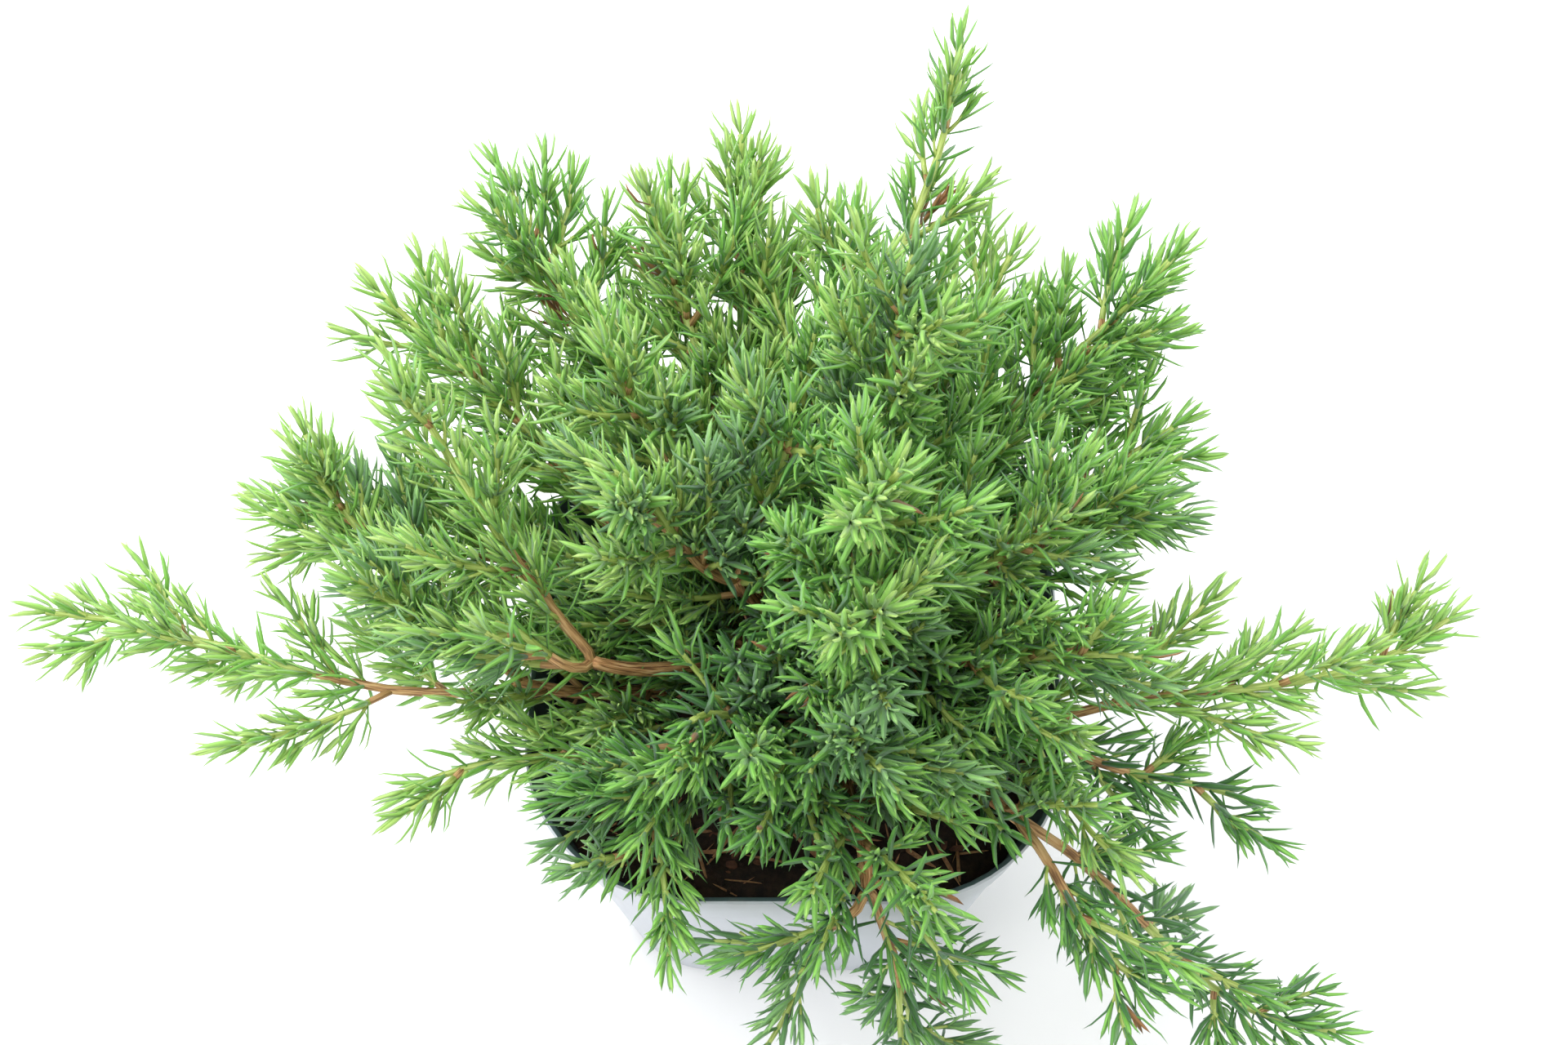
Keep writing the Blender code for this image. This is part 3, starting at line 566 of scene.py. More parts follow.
def stripped_bark():
    """Node group: long fibrous strips that run along a limb. Its UV map is in metres. The colour
    follows the relief, darker in the crevices and lighter on the ridges: partly the bark's own tones,
    partly painted shade in the crevices and painted highlight on the ridges.
    """
    inputs = {"Crevice": "Color", "Strip": "Color", "Ridge": "Color", "Depth": "Float"}
    outputs = {"Colour": "Color", "Normal": "Vector"}
    group, given, result = new_group("stripped_bark", inputs, outputs)
    place = add_node(group, "UVMap", uv_map="grain")
    stretch = add_node(group, "Mapping", {"Scale": (1500.0, 110.0, 1.0)})
    strips = add_node(group, "TexNoise", {"Scale": 1.0, "Detail": 6.0, "Distortion": 0.4})
    split = add_ramp(group, 0.36, 0.52)
    crest = add_ramp(group, 0.52, 0.74)
    low = add_node(group, "Mix", data_type="RGBA")
    high = add_node(group, "Mix", data_type="RGBA")
    bump = add_node(group, "Bump", {"Strength": 0.9})
    wire(
        group,
        (place, "UV", stretch, "Vector"),
        (stretch, 0, strips, "Vector"),
        (strips, "Fac", split, "Fac"),
        (strips, "Fac", crest, "Fac"),
        (split, "Color", low, "Factor"),
        (given, "Crevice", low, "A"),
        (given, "Strip", low, "B"),
        (crest, "Color", high, "Factor"),
        (low, "Result", high, "A"),
        (given, "Ridge", high, "B"),
        (strips, "Fac", bump, "Height"),
        (given, "Depth", bump, "Distance"),
        (high, "Result", result, "Colour"),
        (bump, "Normal", result, "Normal"),
    )
    return group


bark_finish = stripped_bark()


# A bark's crevice colour is partly painted shade and its ridge colour partly painted highlight.
def bark(name, crevice, strip, ridge, depth, roughness):
    values = {"Crevice": crevice, "Strip": strip, "Ridge": ridge, "Depth": depth}
    return finished_material(name, strip, roughness, bark_finish, values)


old_bark = bark("old_bark", (0.12, 0.046, 0.018), (0.53, 0.265, 0.105), (0.80, 0.56, 0.31), 0.0005, 0.8)


def limb(bm, points, radius_at, sides, relief, twist=0.0):
    """A tube along points, with a UV map in metres round and along. Its relief is three broad
    ridges and seven fine ones that wind along it, with small knobs."""
    grain = bm.loops.layers.uv.verify()
    side = None
    rings = []
    along_m = 0.0
    for i, point in enumerate(points):
        ahead = (points[min(i + 1, len(points) - 1)] - points[max(i - 1, 0)]).normalized()
        side = (side - ahead * side.dot(ahead)).normalized() if side else ahead.orthogonal()
        side.normalize()
        other = ahead.cross(side)
        along_m += (point - points[i - 1]).length if i else 0.0
        radius = radius_at(i / (len(points) - 1))
        ring = []
        for k in range(sides):
            turn = 2.0 * math.pi * k / sides + twist * along_m
            ridge = math.sin(3.0 * turn + 40.0 * along_m) + 0.6 * math.sin(7.0 * turn - 95.0 * along_m)
            knob = math.sin(210.0 * along_m + turn)
            swell = 1.0 + relief * (ridge + 0.35 * knob)
            out = side * math.cos(turn) + other * math.sin(turn)
            ring.append(bm.verts.new(point + out * radius * swell))
        rings.append((ring, along_m, radius))
    for (low, v0, r0), (high, v1, _) in zip(rings, rings[1:]):
        for k in range(sides):
            j = (k + 1) % sides
            made = bm.faces.new((low[k], low[j], high[j], high[k]))
            u0, u1 = 2.0 * math.pi * r0 * k / sides, 2.0 * math.pi * r0 * (k + 1) / sides
            for loop, uv in zip(made.loops, ((u0, v0), (u1, v0), (u1, v1), (u0, v1))):
                loop[grain].uv = uv
    bm.faces.new(list(reversed(rings[0][0])))
    bm.faces.new(rings[-1][0])


def limb_piece(name, bm, material):
    """A piece of bark, smooth-shaded."""
    bm.loops.layers.uv.verify()
    piece = new_piece(name, bm, material)
    piece.data.uv_layers[0].name = "grain"
    piece.data.shade_smooth()
    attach(piece, "root")
    return piece


def trunk_radius(share):
    """The trunk's radius at a share of its height."""
    height = share * TRUNK_RINGS[-1][0]
    for (low, first), (high, last) in zip(TRUNK_RINGS, TRUNK_RINGS[1:]):
        if height <= high:
            return first + (last - first) * (height - low) / (high - low)
    return TRUNK_RINGS[-1][1]


bm = bmesh.new()
trunk_line = [trunk_axis(TRUNK_RINGS[-1][0] * i / TRUNK_STEPS) for i in range(TRUNK_STEPS + 1)]
limb(bm, trunk_line, trunk_radius, TRUNK_SIDES, TRUNK_RELIEF, TRUNK_TWIST)
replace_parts(limb_piece("trunk_bark", bm, old_bark), "trunk")

bm = bmesh.new()
first, last = BOUGH_RADII
for points in routes.values():
    limb(bm, points, lambda t: first + (last - first) * t, BOUGH_SIDES, BOUGH_RELIEF)
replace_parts(limb_piece("bough_bark", bm, old_bark), *BOUGHS)


# Twigs: each foliage mass is a stem on its bough's end with side twigs round it, finer ones that
# fill the crown, and short tufts in their axils. The older wood has thin brown bark, and this
# year's is yellow-green to the tip.
STEM, TWIG, TUFT = 0, 1, 2
STEM_ROOT_RADIUS, STEM_GAP, STEM_STEPS, TIP_FOLIAGE = 0.0017, 0.0005, 8, 0.011
FORK_AHEAD, FORK_APART = 1.3, 0.7
TWIG_STEPS, TWIG_EVERY, TWIG_ANGLE = 4, 0.0228, 48.0
TWIG_LENGTH, TWIG_SHORTENING = 0.056, 0.70
TWIGS_FROM, TWIGS_OVER, FEWEST_TWIGS = 0.08, 0.80, 3
TWIG_SHORTEST, TURN_BETWEEN_TWIGS, TURNS_PER_TWIG = 0.0125, 137.5, 3
TURN_SPREAD, ANGLE_SPREAD, REACH_SPREAD = 15.0, 8.0, (0.75, 1.15)
PULL_AHEAD, PULL_UP, NEARLY_UPRIGHT = 0.6, 0.55, 0.05
TWIG_MARGIN, LIMB_MARGIN, POT_MARGIN, LOWEST_LEAF = 0.0036, 0.0014, 0.0030, 0.008
SPOTS_TRIED = [0.3 + 0.14 * n for n in range(6)]

# How sprays are filled: nodes from the tip back, tufts in the nodes' axils, and finer twigs.
TIP_GAP, GAP_GROWTH, WIDEST_GAP = 0.0036, 1.24, {STEM: 0.0088, TWIG: 0.0078, TUFT: 0.0050}
BARE_FOOT, NODE_TURN, NODE_SPREAD = {STEM: 0.006, TWIG: 0.005, TUFT: 0.0012}, 60.0, 7.0
TUFTS_FROM, TUFT_CHANCE, TUFT_ANGLE, TUFT_SPREAD, AXIL_SPREAD = 0.0085, 0.70, 39.0, 9.0, 12.0
TUFT_LENGTHS, TUFT_GROWTH, TUFT_REACHES = (0.0024, 0.0125), 0.18, (0.65, 1.2)
TUFT_STEPS, TUFT_MARGIN = 3, 0.004
LIMB_ROOM, SHOOT_MARGIN, TURNS_PER_SHOOT = 0.0030, 0.005, 4
SHOOT_PLACES, SHOOT_TURN_SPREAD, SHOOT_ANGLES = (0.2, 0.8), 25.0, (-10.0, 14.0)
STEM_SHOOTS = {
    "every": 0.0068, "first": 0.03, "last": 0.80,
    "reaches": (0.022, 0.052), "upward": -0.3, "shorter": 0.40,
}
FRONT_SHOOTS = {"every": 0.0058, "reaches": (0.026, 0.058), "upward": 0.10}
BACK_SHOOTS = {"every": 0.0052, "reaches": (0.024, 0.052), "upward": -0.15}
FRONT_AZIMUTHS, HIGH_BOUGH, HIGH_BARE, LOW_BARE = (200, 355), 0.020, 0.08, 0.22
SHOOTS_END, SHOOTS_END_EARLY = 0.98, {"spray_front_left": 0.62}
FIRST_SEED, FINE_SEED, BOUGH_SEED = 200, 9000, 9500
UP = Vector((0.0, 0.0, 1.0))

# Each small mass inside the crown leaves the trunk itself: height, azimuth and slope as above.
INNER_STEMS = {
    "spray_inner_right": (0.019, 332, 32),
    "spray_inner_back_right": (0.019, 50, 34),
    "spray_inner_back_left": (0.020, 118, 34),
    "spray_inner_left": (0.016, 182, 26),
    "spray_inner_front_left": (0.028, 232, 28),
    "spray_inner_front": (0.016, 272, 24),
}

# Branches that are bare over their first part, in shares of their length.
STEM_BARE, TWIG_BARE = 0.06, 0.10
BARE_STEMS = {"spray_left_long": 0.30, "spray_right_long": 0.12, "spray_right_hanging": 0.10}

# Sprays that hang or reach out past the rim are thinner than the crown: their share of tufts.
THIN_SPRAYS = {
    "spray_right_long": 0.52,
    "spray_right_hanging": 0.56,
    "spray_front_hanging": 0.56,
    "spray_front_low": 0.56,
    "spray_front_right": 0.58,
    "spray_right_low": 0.56,
    "spray_left_front": 0.60,
    "spray_front_left": 0.60,
    "spray_back_right_long": 0.50,
}


def stem_end(name):
    """Where a mass's stem ends, a tip's foliage short of the mass's own tip, and its heading."""
    _, tip, heading = MASSES[name]
    arrive = slanted(*heading)
    return polar(*tip) - arrive * TIP_FOLIAGE, arrive


stems = {}
for name, (height, azimuth, slope) in INNER_STEMS.items():
    start = on_trunk(height, azimuth, slope, STEM_ROOT_RADIUS)
    stems[name] = bend(start, slanted(azimuth, slope), *stem_end(name), STEM_STEPS)
for bough, points in routes.items():
    names = [name for name, row in MASSES.items() if row[0] == bough]
    along = (points[-1] - points[-2]).normalized()
    apart = Vector()
    if len(names) == 2:
        apart = stem_end(names[0])[0] - stem_end(names[1])[0]
        apart = (apart - along * apart.dot(along)).normalized()
    for name, sign in zip(names, (1.0, -1.0)):
        start = points[-1] + along * STEM_GAP + apart * sign * (STEM_ROOT_RADIUS + GAP)
        leave = (along * FORK_AHEAD + apart * sign * FORK_APART).normalized()
        stems[name] = bend(start, leave, *stem_end(name), STEM_STEPS)


def edges_of(points):
    """The starts and spans of a curve's edges."""
    array = np.array([tuple(p) for p in points])
    return array[:-1], array[1:] - array[:-1]


def join_edges(curves):
    starts, spans = zip(*curves)
    return np.concatenate(starts), np.concatenate(spans)


def distance(point, edges):
    """Distance from a point to the nearest of many edges."""
    starts, spans = edges
    offset = np.array(tuple(point)) - starts
    share = (offset * spans).sum(1) / (spans * spans).sum(1)
    nearest = offset - spans * np.clip(share, 0.0, 1.0)[:, None]
    return float(np.sqrt((nearest * nearest).sum(1)).min())


def square_distance(point, half, corner):
    """Distance outside a rounded square in plan, negative inside it."""
    x, y = abs(point.x) - (half - corner), abs(point.y) - (half - corner)
    return math.hypot(max(x, 0.0), max(y, 0.0)) + min(max(x, y), 0.0) - corner


def clear_of_pot(point, margin=POT_MARGIN):
    """Whether a point is this far clear of the pot and the soil, and well off the ground."""
    if point.z < LOWEST_LEAF:
        return False
    if point.z > POT_HEIGHT + margin:
        return True
    if square_distance(point, POT_HALF, POT_CORNER) > margin:
        return True
    half, corner = body_size(point.z)
    inside = square_distance(point, half - WALL, corner - WALL) < -margin
    return inside and point.z > SOIL_CREST + margin


limb_edges = join_edges([edges_of(points) for points in routes.values()])


def holds(point, own, others, margin):
    """Whether a point is in a mass's space: nearer its own stem than any other, and clear."""
    if not clear_of_pot(point) or distance(point, limb_edges) < BOUGH_RADII[0] + LIMB_MARGIN:
        return False
    return distance(point, others) - distance(point, own) > margin


def curve_length(points):
    return sum((b - a).length for a, b in zip(points, points[1:]))


def along_curve(points, share):
    """Point and direction at a share of a curve's length."""
    lengths = [(b - a).length for a, b in zip(points, points[1:])]
    left = share * sum(lengths)
    for a, b, length in zip(points, points[1:], lengths):
        if left <= length:
            return a.lerp(b, left / length), (b - a).normalized()
        left -= length
    return points[-1], (points[-1] - points[-2]).normalized()


def fan(along, turn, angle):
    """A direction at an angle to along, turned about it; zero turn points up where it can."""
    side = UP - along * UP.dot(along)
    side = side.normalized() if side.length > NEARLY_UPRIGHT else along.orthogonal().normalized()
    side = Matrix.Rotation(math.radians(turn), 3, along) @ side
    lean = math.radians(angle)
    return (along * math.cos(lean) + side * math.sin(lean)).normalized()


def twig_route(base, along, turn, angle, reach, steps):
    """A twig leaves at an angle and bends towards its stem's way and the light."""
    leave = fan(along, turn, angle)
    arrive = (leave + along * PULL_AHEAD + UP * PULL_UP).normalized()
    points = [base]
    for step in range(steps):
        heading = leave.lerp(arrive, (step + 0.5) / steps).normalized()
        points.append(points[-1] + heading * (reach / steps))
    return points


def side_twigs(name, stem, rng):
    """The mass's side twigs: a spiral up the stem, each turned on until it finds room."""
    own = edges_of(stem)
    others = join_edges([edges_of(route) for key, route in stems.items() if key != name])
    count = max(FEWEST_TWIGS, round(curve_length(stem) / TWIG_EVERY))
    turn = rng.uniform(0.0, 360.0)
    twigs = []
    for k in range(count):
        share = TWIGS_FROM + TWIGS_OVER * (k + 0.5) / count
        base, along = along_curve(stem, share)
        for _ in range(TURNS_PER_TWIG):
            turn += TURN_BETWEEN_TWIGS + rng.uniform(-TURN_SPREAD, TURN_SPREAD)
            reach = TWIG_LENGTH * (1.0 - TWIG_SHORTENING * share) * rng.uniform(*REACH_SPREAD)
            angle = TWIG_ANGLE + rng.uniform(-ANGLE_SPREAD, ANGLE_SPREAD)
            route = twig_route(base, along, turn, angle, reach, TWIG_STEPS)
            kept = [route[0]]
            for a, b in zip(route, route[1:]):
                spots = (a.lerp(b, part) for part in SPOTS_TRIED)
                if not all(holds(spot, own, others, TWIG_MARGIN) for spot in spots):
                    break
                kept.append(b)
            if len(kept) > 1 and curve_length(kept) >= TWIG_SHORTEST:
                twigs.append(kept)
                break
    return twigs


def finer_shoots(parent, rng, every, first, last, reaches, upward, shorter=0.0):
    """Twigs that fill the crown's inside, on a bough or, shorter outwards, on a stem."""
    count = int(curve_length(parent) * (last - first) / every)
    turn = rng.uniform(0.0, 360.0)
    found = []
    for k in range(count):
        share = first + (last - first) * (k + rng.uniform(*SHOOT_PLACES)) / count
        base, along = along_curve(parent, share)
        for _ in range(TURNS_PER_SHOOT):
            turn += TURN_BETWEEN_TWIGS + rng.uniform(-SHOOT_TURN_SPREAD, SHOOT_TURN_SPREAD)
            reach = rng.uniform(*reaches) * (1.0 - shorter * share)
            angle = TWIG_ANGLE + rng.uniform(*SHOOT_ANGLES)
            route = twig_route(base, along, turn, angle, reach, TWIG_STEPS)
            rises = (route[-1] - base).normalized().z > upward
            free = all(distance(point, limb_edges) > LIMB_ROOM for point in route[2:])
            if rises and free and all(clear_of_pot(point, SHOOT_MARGIN) for point in route[1:]):
                found.append(route)
                break
    return found


# The arching spray stands free of its neighbours towards the light.
OPEN_SPRAY, OPEN_ROOM, OPEN_STEPS = "spray_left_arch", 0.016, 24
OPEN_BOUGH, OPEN_FROM = "bough_left_arch", 14
LIGHT_SIDE = np.array((0.10, -0.46, 0.88))
open_line = routes[OPEN_BOUGH][OPEN_FROM:] + stems[OPEN_SPRAY]
open_spots = [along_curve(open_line, i / OPEN_STEPS)[0] for i in range(OPEN_STEPS + 1)]
open_points = np.array([tuple(spot) for spot in open_spots])


def shades(route, name):
    """Whether a shoot of another mass lies over the arching spray, on the side of the light."""
    if name == OPEN_SPRAY:
        return False
    for point in route[1:]:
        offset = np.array(tuple(point)) - open_points
        above = offset @ LIGHT_SIDE
        beside = np.sqrt(((offset - above[:, None] * LIGHT_SIDE) ** 2).sum(1))
        if ((beside < OPEN_ROOM) & (above > 0.0)).any():
            return True
    return False


def nodes_along(points, order, rng):
    """A branch's nodes, close at its tip: distance from the tip, place, direction and turn."""
    length = curve_length(points)
    turn = rng.uniform(0.0, 120.0)
    gap, from_tip = TIP_GAP, 0.0
    found = []
    while from_tip < length - BARE_FOOT[order]:
        place, along = along_curve(points, 1.0 - from_tip / length)
        turn += NODE_TURN + rng.uniform(-NODE_SPREAD, NODE_SPREAD)
        found.append((from_tip, place, along, turn))
        from_tip += gap
        gap = min(WIDEST_GAP[order], gap * GAP_GROWTH)
    return found


def tufts(nodes, most, rng, chance):
    """Short side shoots in the axils of a branch's nodes, ever shorter towards its tip."""
    low, high = TUFT_LENGTHS
    found = []
    for from_tip, place, along, turn in nodes:
        if not TUFTS_FROM < from_tip < most:
            continue
        for axil in range(3):
            if rng.random() > chance:
                continue
            reach = min(high, low + TUFT_GROWTH * from_tip) * rng.uniform(*TUFT_REACHES)
            angle = TUFT_ANGLE + rng.uniform(-TUFT_SPREAD, TUFT_SPREAD)
            way = turn + 120.0 * axil + rng.uniform(-AXIL_SPREAD, AXIL_SPREAD)
            route = twig_route(place, along, way, angle, reach, TUFT_STEPS)
            if all(clear_of_pot(point, TUFT_MARGIN) for point in route[1:]):
                found.append(route)
    return found


# A branch is its mass, its route, its order (stem, twig or tuft) and its nodes.
branches = []


def grow(name, points, order, rng, bare=TWIG_BARE):
    """Adds a branch with its tufts, but none that would lie over the arching spray."""
    nodes = nodes_along(points, order, rng)
    most = curve_length(points) * (1.0 - bare)
    kept = [node for node in nodes if node[0] < most]
    branches.append((name, points, order, kept))
    for shoot in tufts(kept, most, rng, THIN_SPRAYS.get(name, TUFT_CHANCE)):
        if not shades(shoot, name):
            branches.append((name, shoot, TUFT, nodes_along(shoot, TUFT, rng)))


for number, (name, stem) in enumerate(stems.items()):
    rng = random.Random(FIRST_SEED + number)
    fine = random.Random(FINE_SEED + number)
    grow(name, stem, STEM, fine, BARE_STEMS.get(name, STEM_BARE))
    limbs = side_twigs(name, stem, rng)
    if name not in BARE_STEMS and name not in THIN_SPRAYS and name != OPEN_SPRAY:
        more = finer_shoots(stem, fine, **STEM_SHOOTS)
        limbs += [twig for twig in more if not shades(twig, name)]
    for twig in limbs:
        grow(name, twig, TWIG, fine)
for number, (bough, points) in enumerate(routes.items()):
    name = next(mass for mass, row in MASSES.items() if row[0] == bough)
    fine = random.Random(BOUGH_SEED + number)
    height, azimuth = BOUGHS[bough][:2]
    kind = FRONT_SHOOTS if FRONT_AZIMUTHS[0] < azimuth < FRONT_AZIMUTHS[1] else BACK_SHOOTS
    first = HIGH_BARE if height > HIGH_BOUGH else LOW_BARE
    last = SHOOTS_END_EARLY.get(name, SHOOTS_END)
    for twig in finer_shoots(points, fine, first=first, last=last, **kind):
        if not shades(twig, ""):
            grow(name, twig, TWIG, fine)

# Here too the crevice colours are partly painted shade and the ridge colours partly painted highlight.
thin_bark = bark("thin_bark", (0.17, 0.080, 0.030), (0.46, 0.26, 0.10), (0.64, 0.46, 0.23), 0.0002, 0.7)
green_bark = bark("green_bark", (0.26, 0.35, 0.07), (0.42, 0.53, 0.13), (0.58, 0.66, 0.24), 0.0001, 0.5)
WOOD_RADII = {STEM: (0.0017, 0.0012), TWIG: (0.0012, 0.0009), TUFT: (0.0008, 0.0006)}
OLD_SHARE, TIP_SHARE = {STEM: 0.42, TWIG: 0.16, TUFT: 0.0}, 0.8
WOOD_STEPS = {STEM: 0.004, TWIG: 0.004, TUFT: 0.005}
WOOD_SIDES = {STEM: 6, TWIG: 5, TUFT: 4}
WOOD_RELIEF, FEWEST_STEPS, TRUNK_SINK, BOUGH_SINK = 0.03, 3, 0.002, 0.001

woody, green = bmesh.new(), bmesh.new()
for name, points, order, _ in branches:
    first, last = WOOD_RADII[order]
    if order == STEM:
        bough = MASSES[name][0]
        leave = (points[1] - points[0]).normalized()
        seat = points[0] - leave * TRUNK_SINK
        if bough != "trunk":
            seat = routes[bough][-1] - leave * BOUGH_SINK
        points = [seat] + points
    count = max(FEWEST_STEPS, round(curve_length(points) / WOOD_STEPS[order]))
    line = [along_curve(points, i / count)[0] for i in range(count + 1)]
    split = round(count * OLD_SHARE[order])
    sides = WOOD_SIDES[order]
    if split:
        old = line[: split + 1]
        limb(woody, old, lambda t: first + (last - first) * t * split / count, sides, WOOD_RELIEF)
    start = first + (last - first) * split / count
    limb(green, line[split:], lambda t: start + (last * TIP_SHARE - start) * t, sides, WOOD_RELIEF)
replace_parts(limb_piece("woody_twigs", woody, thin_bark), *MASSES)
limb_piece("green_twigs", green, green_bark)


# Needles: whorls of three stiff, sharp blades round every twig, flat above and keeled below.
# This year's tips are bright and close, older whorls deeper green and spreading.
NEEDLE_LENGTHS = {STEM: (0.0142, 0.0178), TWIG: (0.0140, 0.0176), TUFT: (0.0130, 0.0170)}
NEEDLE_ANGLES = {STEM: (14.0, 62.0), TWIG: (14.0, 60.0), TUFT: (9.0, 36.0)}
NEEDLE_WIDTH, KEEL_SHARE, NEEDLE_BOW, COMMON_LENGTH = 0.00185, 0.62, (-0.16, 0.13), 0.0125
OPENS_OVER, GROWN_FROM, BUD_SHARE = 0.011, 0.005, 0.74
NEEDLE_SPREAD, WHORL_SPREAD, NEEDLE_MARGIN, MOST_NEEDLES = 9.0, 10.0, 0.0015, 11800
TIP_REACH, YOUNG_REACH = 0.0035, 0.0095
WITHERED_TUFTS, DEAD_NEEDLES = 0.003, 0.002
TINT_SEED, BOW_SEED = 41, 5
# These greens stand for the needles' age and also, through the families below, for painted light and
# shade.
TINTS = {
    "needles_fresh": ((0.42, 0.64, 0.165), 0.42),
    "needles_lime": ((0.295, 0.56, 0.110), 0.42),
    "needles_bright": ((0.210, 0.495, 0.080), 0.43),
    "needles_grass": ((0.106, 0.305, 0.052), 0.44),
    "needles_deep": ((0.050, 0.168, 0.038), 0.46),
    "needles_blue_tip": ((0.28, 0.53, 0.165), 0.44),
    "needles_blue": ((0.160, 0.345, 0.110), 0.44),
    "needles_blue_old": ((0.090, 0.220, 0.072), 0.46),
    "needles_dead": ((0.30, 0.14, 0.05), 0.75),
}

# A twig's family gives the tints of its tips, of its younger whorls and of its older ones. The
# sunny, green and shaded families are painted light and shade: the same foliage in lighter or
# darker greens by where the light falls.
FAMILIES = {
    "sunny": ("needles_fresh", "needles_lime", "needles_bright"),
    "green": ("needles_lime", "needles_bright", "needles_grass"),
    "shaded": ("needles_bright", "needles_grass", "needles_deep"),
    "bluish": ("needles_blue_tip", "needles_blue", "needles_blue_old"),
    "dead": ("needles_dead", "needles_dead", "needles_dead"),
}
# These sprays always take the sunny family's painted light.
SUNLIT_SPRAYS = (OPEN_SPRAY, "spray_left_long", "spray_right_long")
BLUISH_SHARE, BLUISH_BACK = 0.22, 0.06
# These place the painted light and shade on the foliage: higher, further out and further to the back
# left is lighter.
SHADE_HEIGHT, HEIGHT_RANGE, REACH_RANGE, REACH_WEIGHT, MOOD_WEIGHT = 0.150, 0.12, 0.15, 0.6, 0.5
BACK_LEFT, BACK_LEFT_LIGHT = 0.03, 0.65
SUNNY_ABOVE, GREEN_ABOVE = 1.45, 0.85

# A blade's outline: shares of its length and of its half width, before the tip.
OUTLINE = ((0.0, 0.48), (0.40, 1.0), (0.80, 0.70))


def whorls(nodes, order, rng):
    """Three needles at each node: root, direction, facing, length and distance from the tip."""
    low, high = NEEDLE_LENGTHS[order]
    shut, spread = NEEDLE_ANGLES[order]
    found = []
    for from_tip, root, along, turn in nodes:
        for n in range(3):
            opened = 1.0 - math.exp(-from_tip / OPENS_OVER)
            angle = shut + (spread - shut) * opened + rng.uniform(-NEEDLE_SPREAD, NEEDLE_SPREAD)
            way = turn + 120.0 * n + rng.uniform(-WHORL_SPREAD, WHORL_SPREAD)
            heading = fan(along, way, angle)
            grown = BUD_SHARE + (1.0 - BUD_SHARE) * min(1.0, from_tip / GROWN_FROM)
            size = rng.uniform(low, high) * grown
            if not clear_of_pot(root + heading * size, NEEDLE_MARGIN):
                continue
            face = (along - heading * along.dot(heading)).normalized()
            found.append((root, heading, face, size, from_tip))
    return found


def family_of(tip, mood):
    """The family of a twig's foliage: some are bluish, and the rest carry painted light and shade,
    the brighter the higher, the further out and the further to the back left they are."""
    if mood < BLUISH_SHARE:
        return "bluish" if tip.y < BLUISH_BACK else "green"
    height = (tip.z - SHADE_HEIGHT) / HEIGHT_RANGE
    light = height + REACH_WEIGHT * math.hypot(tip.x, tip.y) / REACH_RANGE + MOOD_WEIGHT * mood
    if tip.y > tip.x + BACK_LEFT:
        light += BACK_LEFT_LIGHT
    return "sunny" if light > SUNNY_ABOVE else "green" if light > GREEN_ABOVE else "shaded"


rows = {tint: [] for tint in TINTS}
rng = random.Random(TINT_SEED)
for name, points, order, nodes in branches:
    if order != TUFT:
        family = family_of(points[-1], rng.random())
        family = "sunny" if name in SUNLIT_SPRAYS else family
    withered = order == TUFT and rng.random() < WITHERED_TUFTS
    for root, heading, face, size, from_tip in whorls(nodes, order, rng):
        tip_tint, young, old = FAMILIES["dead" if withered else family]
        tint = tip_tint if from_tip < TIP_REACH else young if from_tip < YOUNG_REACH else old
        if rng.random() < DEAD_NEEDLES:
            tint = "needles_dead"
        rows[tint].append((root, heading, face, size))


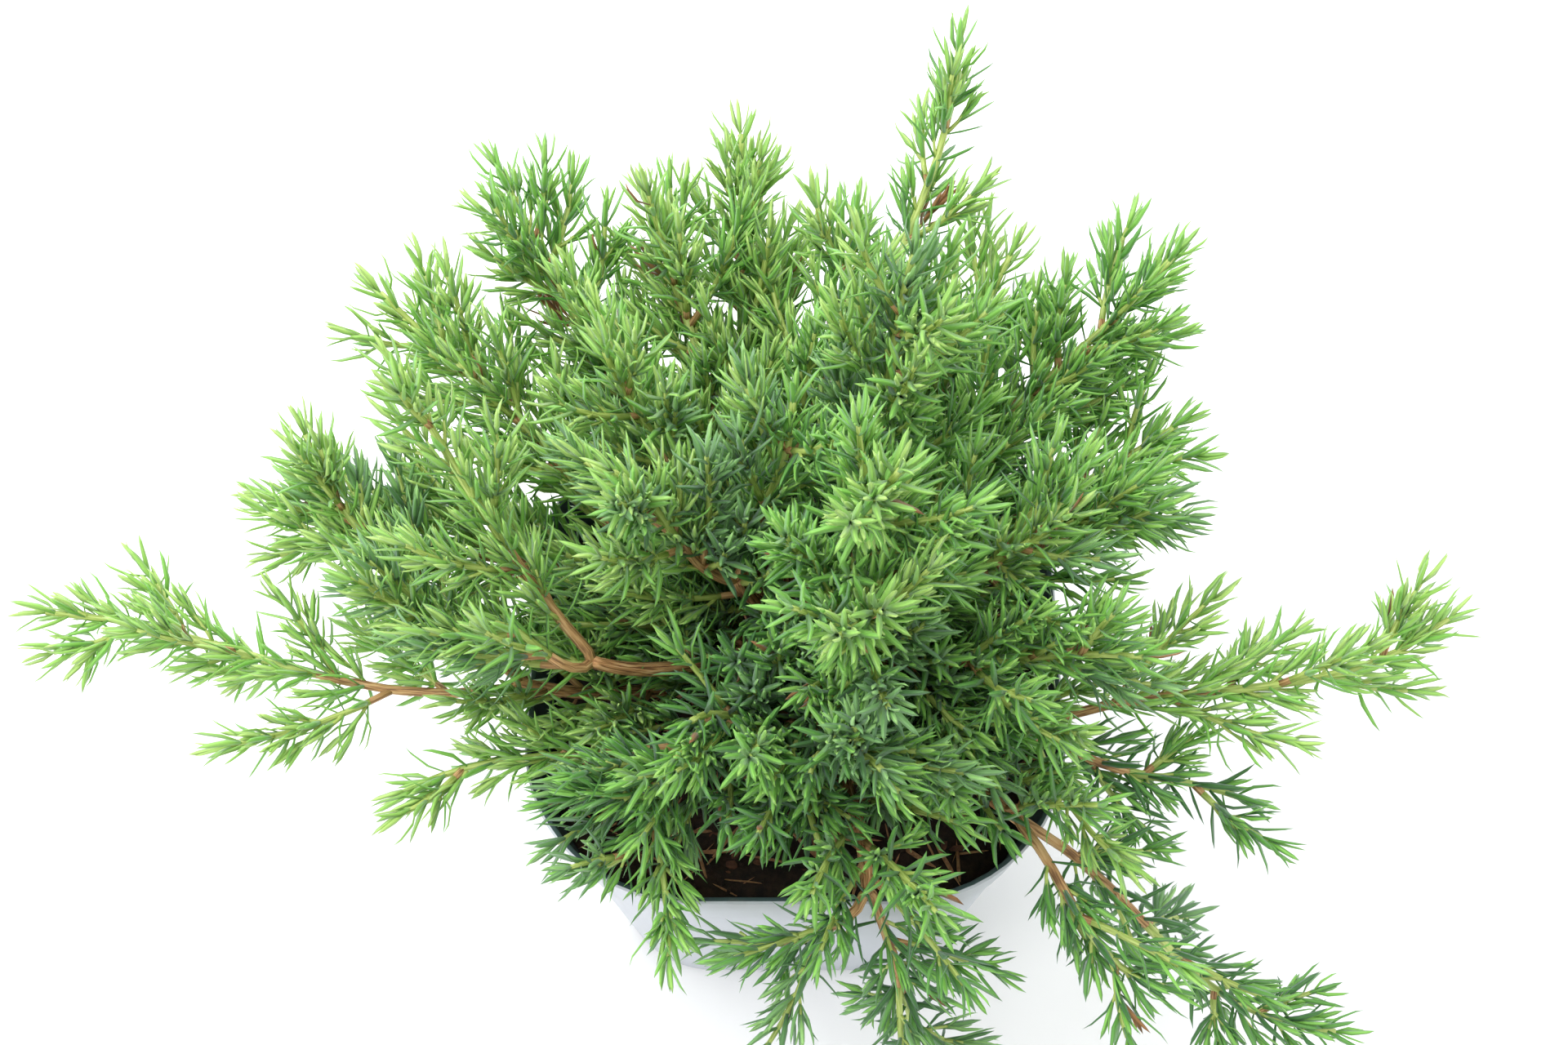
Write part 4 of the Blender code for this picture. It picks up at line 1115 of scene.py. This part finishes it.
def needle_mesh(name, needles, material):
    """All of one tint's needles as one joined mesh: each is a slim blade, keeled underneath."""
    root, way, face = (np.array([tuple(needle[i]) for needle in needles]) for i in range(3))
    size = np.array([needle[3] for needle in needles])[:, None]
    side = np.cross(way, face)
    bow = np.random.default_rng(BOW_SEED).uniform(*NEEDLE_BOW, (len(needles), 1))
    wide = NEEDLE_WIDTH * 0.5 * (size / COMMON_LENGTH) ** 0.5
    points = []
    for t, share in OUTLINE:
        spine = root + way * size * t + face * size * bow * math.sin(math.pi * t)
        keel = spine - face * wide * KEEL_SHARE * share
        points += [spine + side * wide * share, keel, spine - side * wide * share]
    points.append(root + way * size)
    verts = np.stack(points, axis=1)
    per = len(points)
    faces = []
    for ring in range(len(OUTLINE) - 1):
        for k in range(3):
            a, b = ring * 3 + k, ring * 3 + (k + 1) % 3
            faces += [(a, a + 3, b), (b, a + 3, b + 3)]
    last = (len(OUTLINE) - 1) * 3
    faces += [(last + k, per - 1, last + (k + 1) % 3) for k in range(3)]
    faces.append((0, 1, 2))
    offsets = (np.arange(len(needles)) * per)[:, None, None]
    index = (np.array(faces)[None] + offsets).reshape(-1, 3)
    mesh = bpy.data.meshes.new(name)
    mesh.vertices.add(len(needles) * per)
    mesh.vertices.foreach_set("co", verts.reshape(-1))
    mesh.loops.add(len(index) * 3)
    mesh.loops.foreach_set("vertex_index", index.reshape(-1))
    mesh.polygons.add(len(index))
    mesh.polygons.foreach_set("loop_start", np.arange(0, len(index) * 3, 3))
    mesh.update(calc_edges=True)
    mesh.validate()
    mesh.materials.append(material)
    piece = bpy.data.objects.new(name, mesh)
    scene.collection.objects.link(piece)
    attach(piece, "root")


def needle_skin(name, colour, roughness):
    """A waxy green whose gloss changes over the blades, with a faint bluish bloom."""
    material, tree, shader = new_material(name, colour, roughness)
    place = add_node(tree, "TexCoord")
    mottle = add_node(tree, "TexNoise", {"Scale": 350.0})
    gloss = add_node(tree, "MapRange", {"To Min": roughness - 0.10, "To Max": roughness + 0.14})
    wire(
        tree,
        (place, "Object", mottle, "Vector"),
        (mottle, "Fac", gloss, "Value"),
        (gloss, "Result", shader, "Roughness"),
    )
    shader.inputs["Sheen Weight"].default_value = 0.22
    shader.inputs["Sheen Roughness"].default_value = 0.45
    shader.inputs["Sheen Tint"].default_value = (0.80, 0.95, 1.0, 1.0)
    return material


for tint, needles in rows.items():
    skin = needle_skin(tint, *TINTS[tint])
    for part in range(0, len(needles), MOST_NEEDLES):
        name = tint if part == 0 else f"{tint}_{part // MOST_NEEDLES + 1}"
        needle_mesh(name, needles[part : part + MOST_NEEDLES], skin)
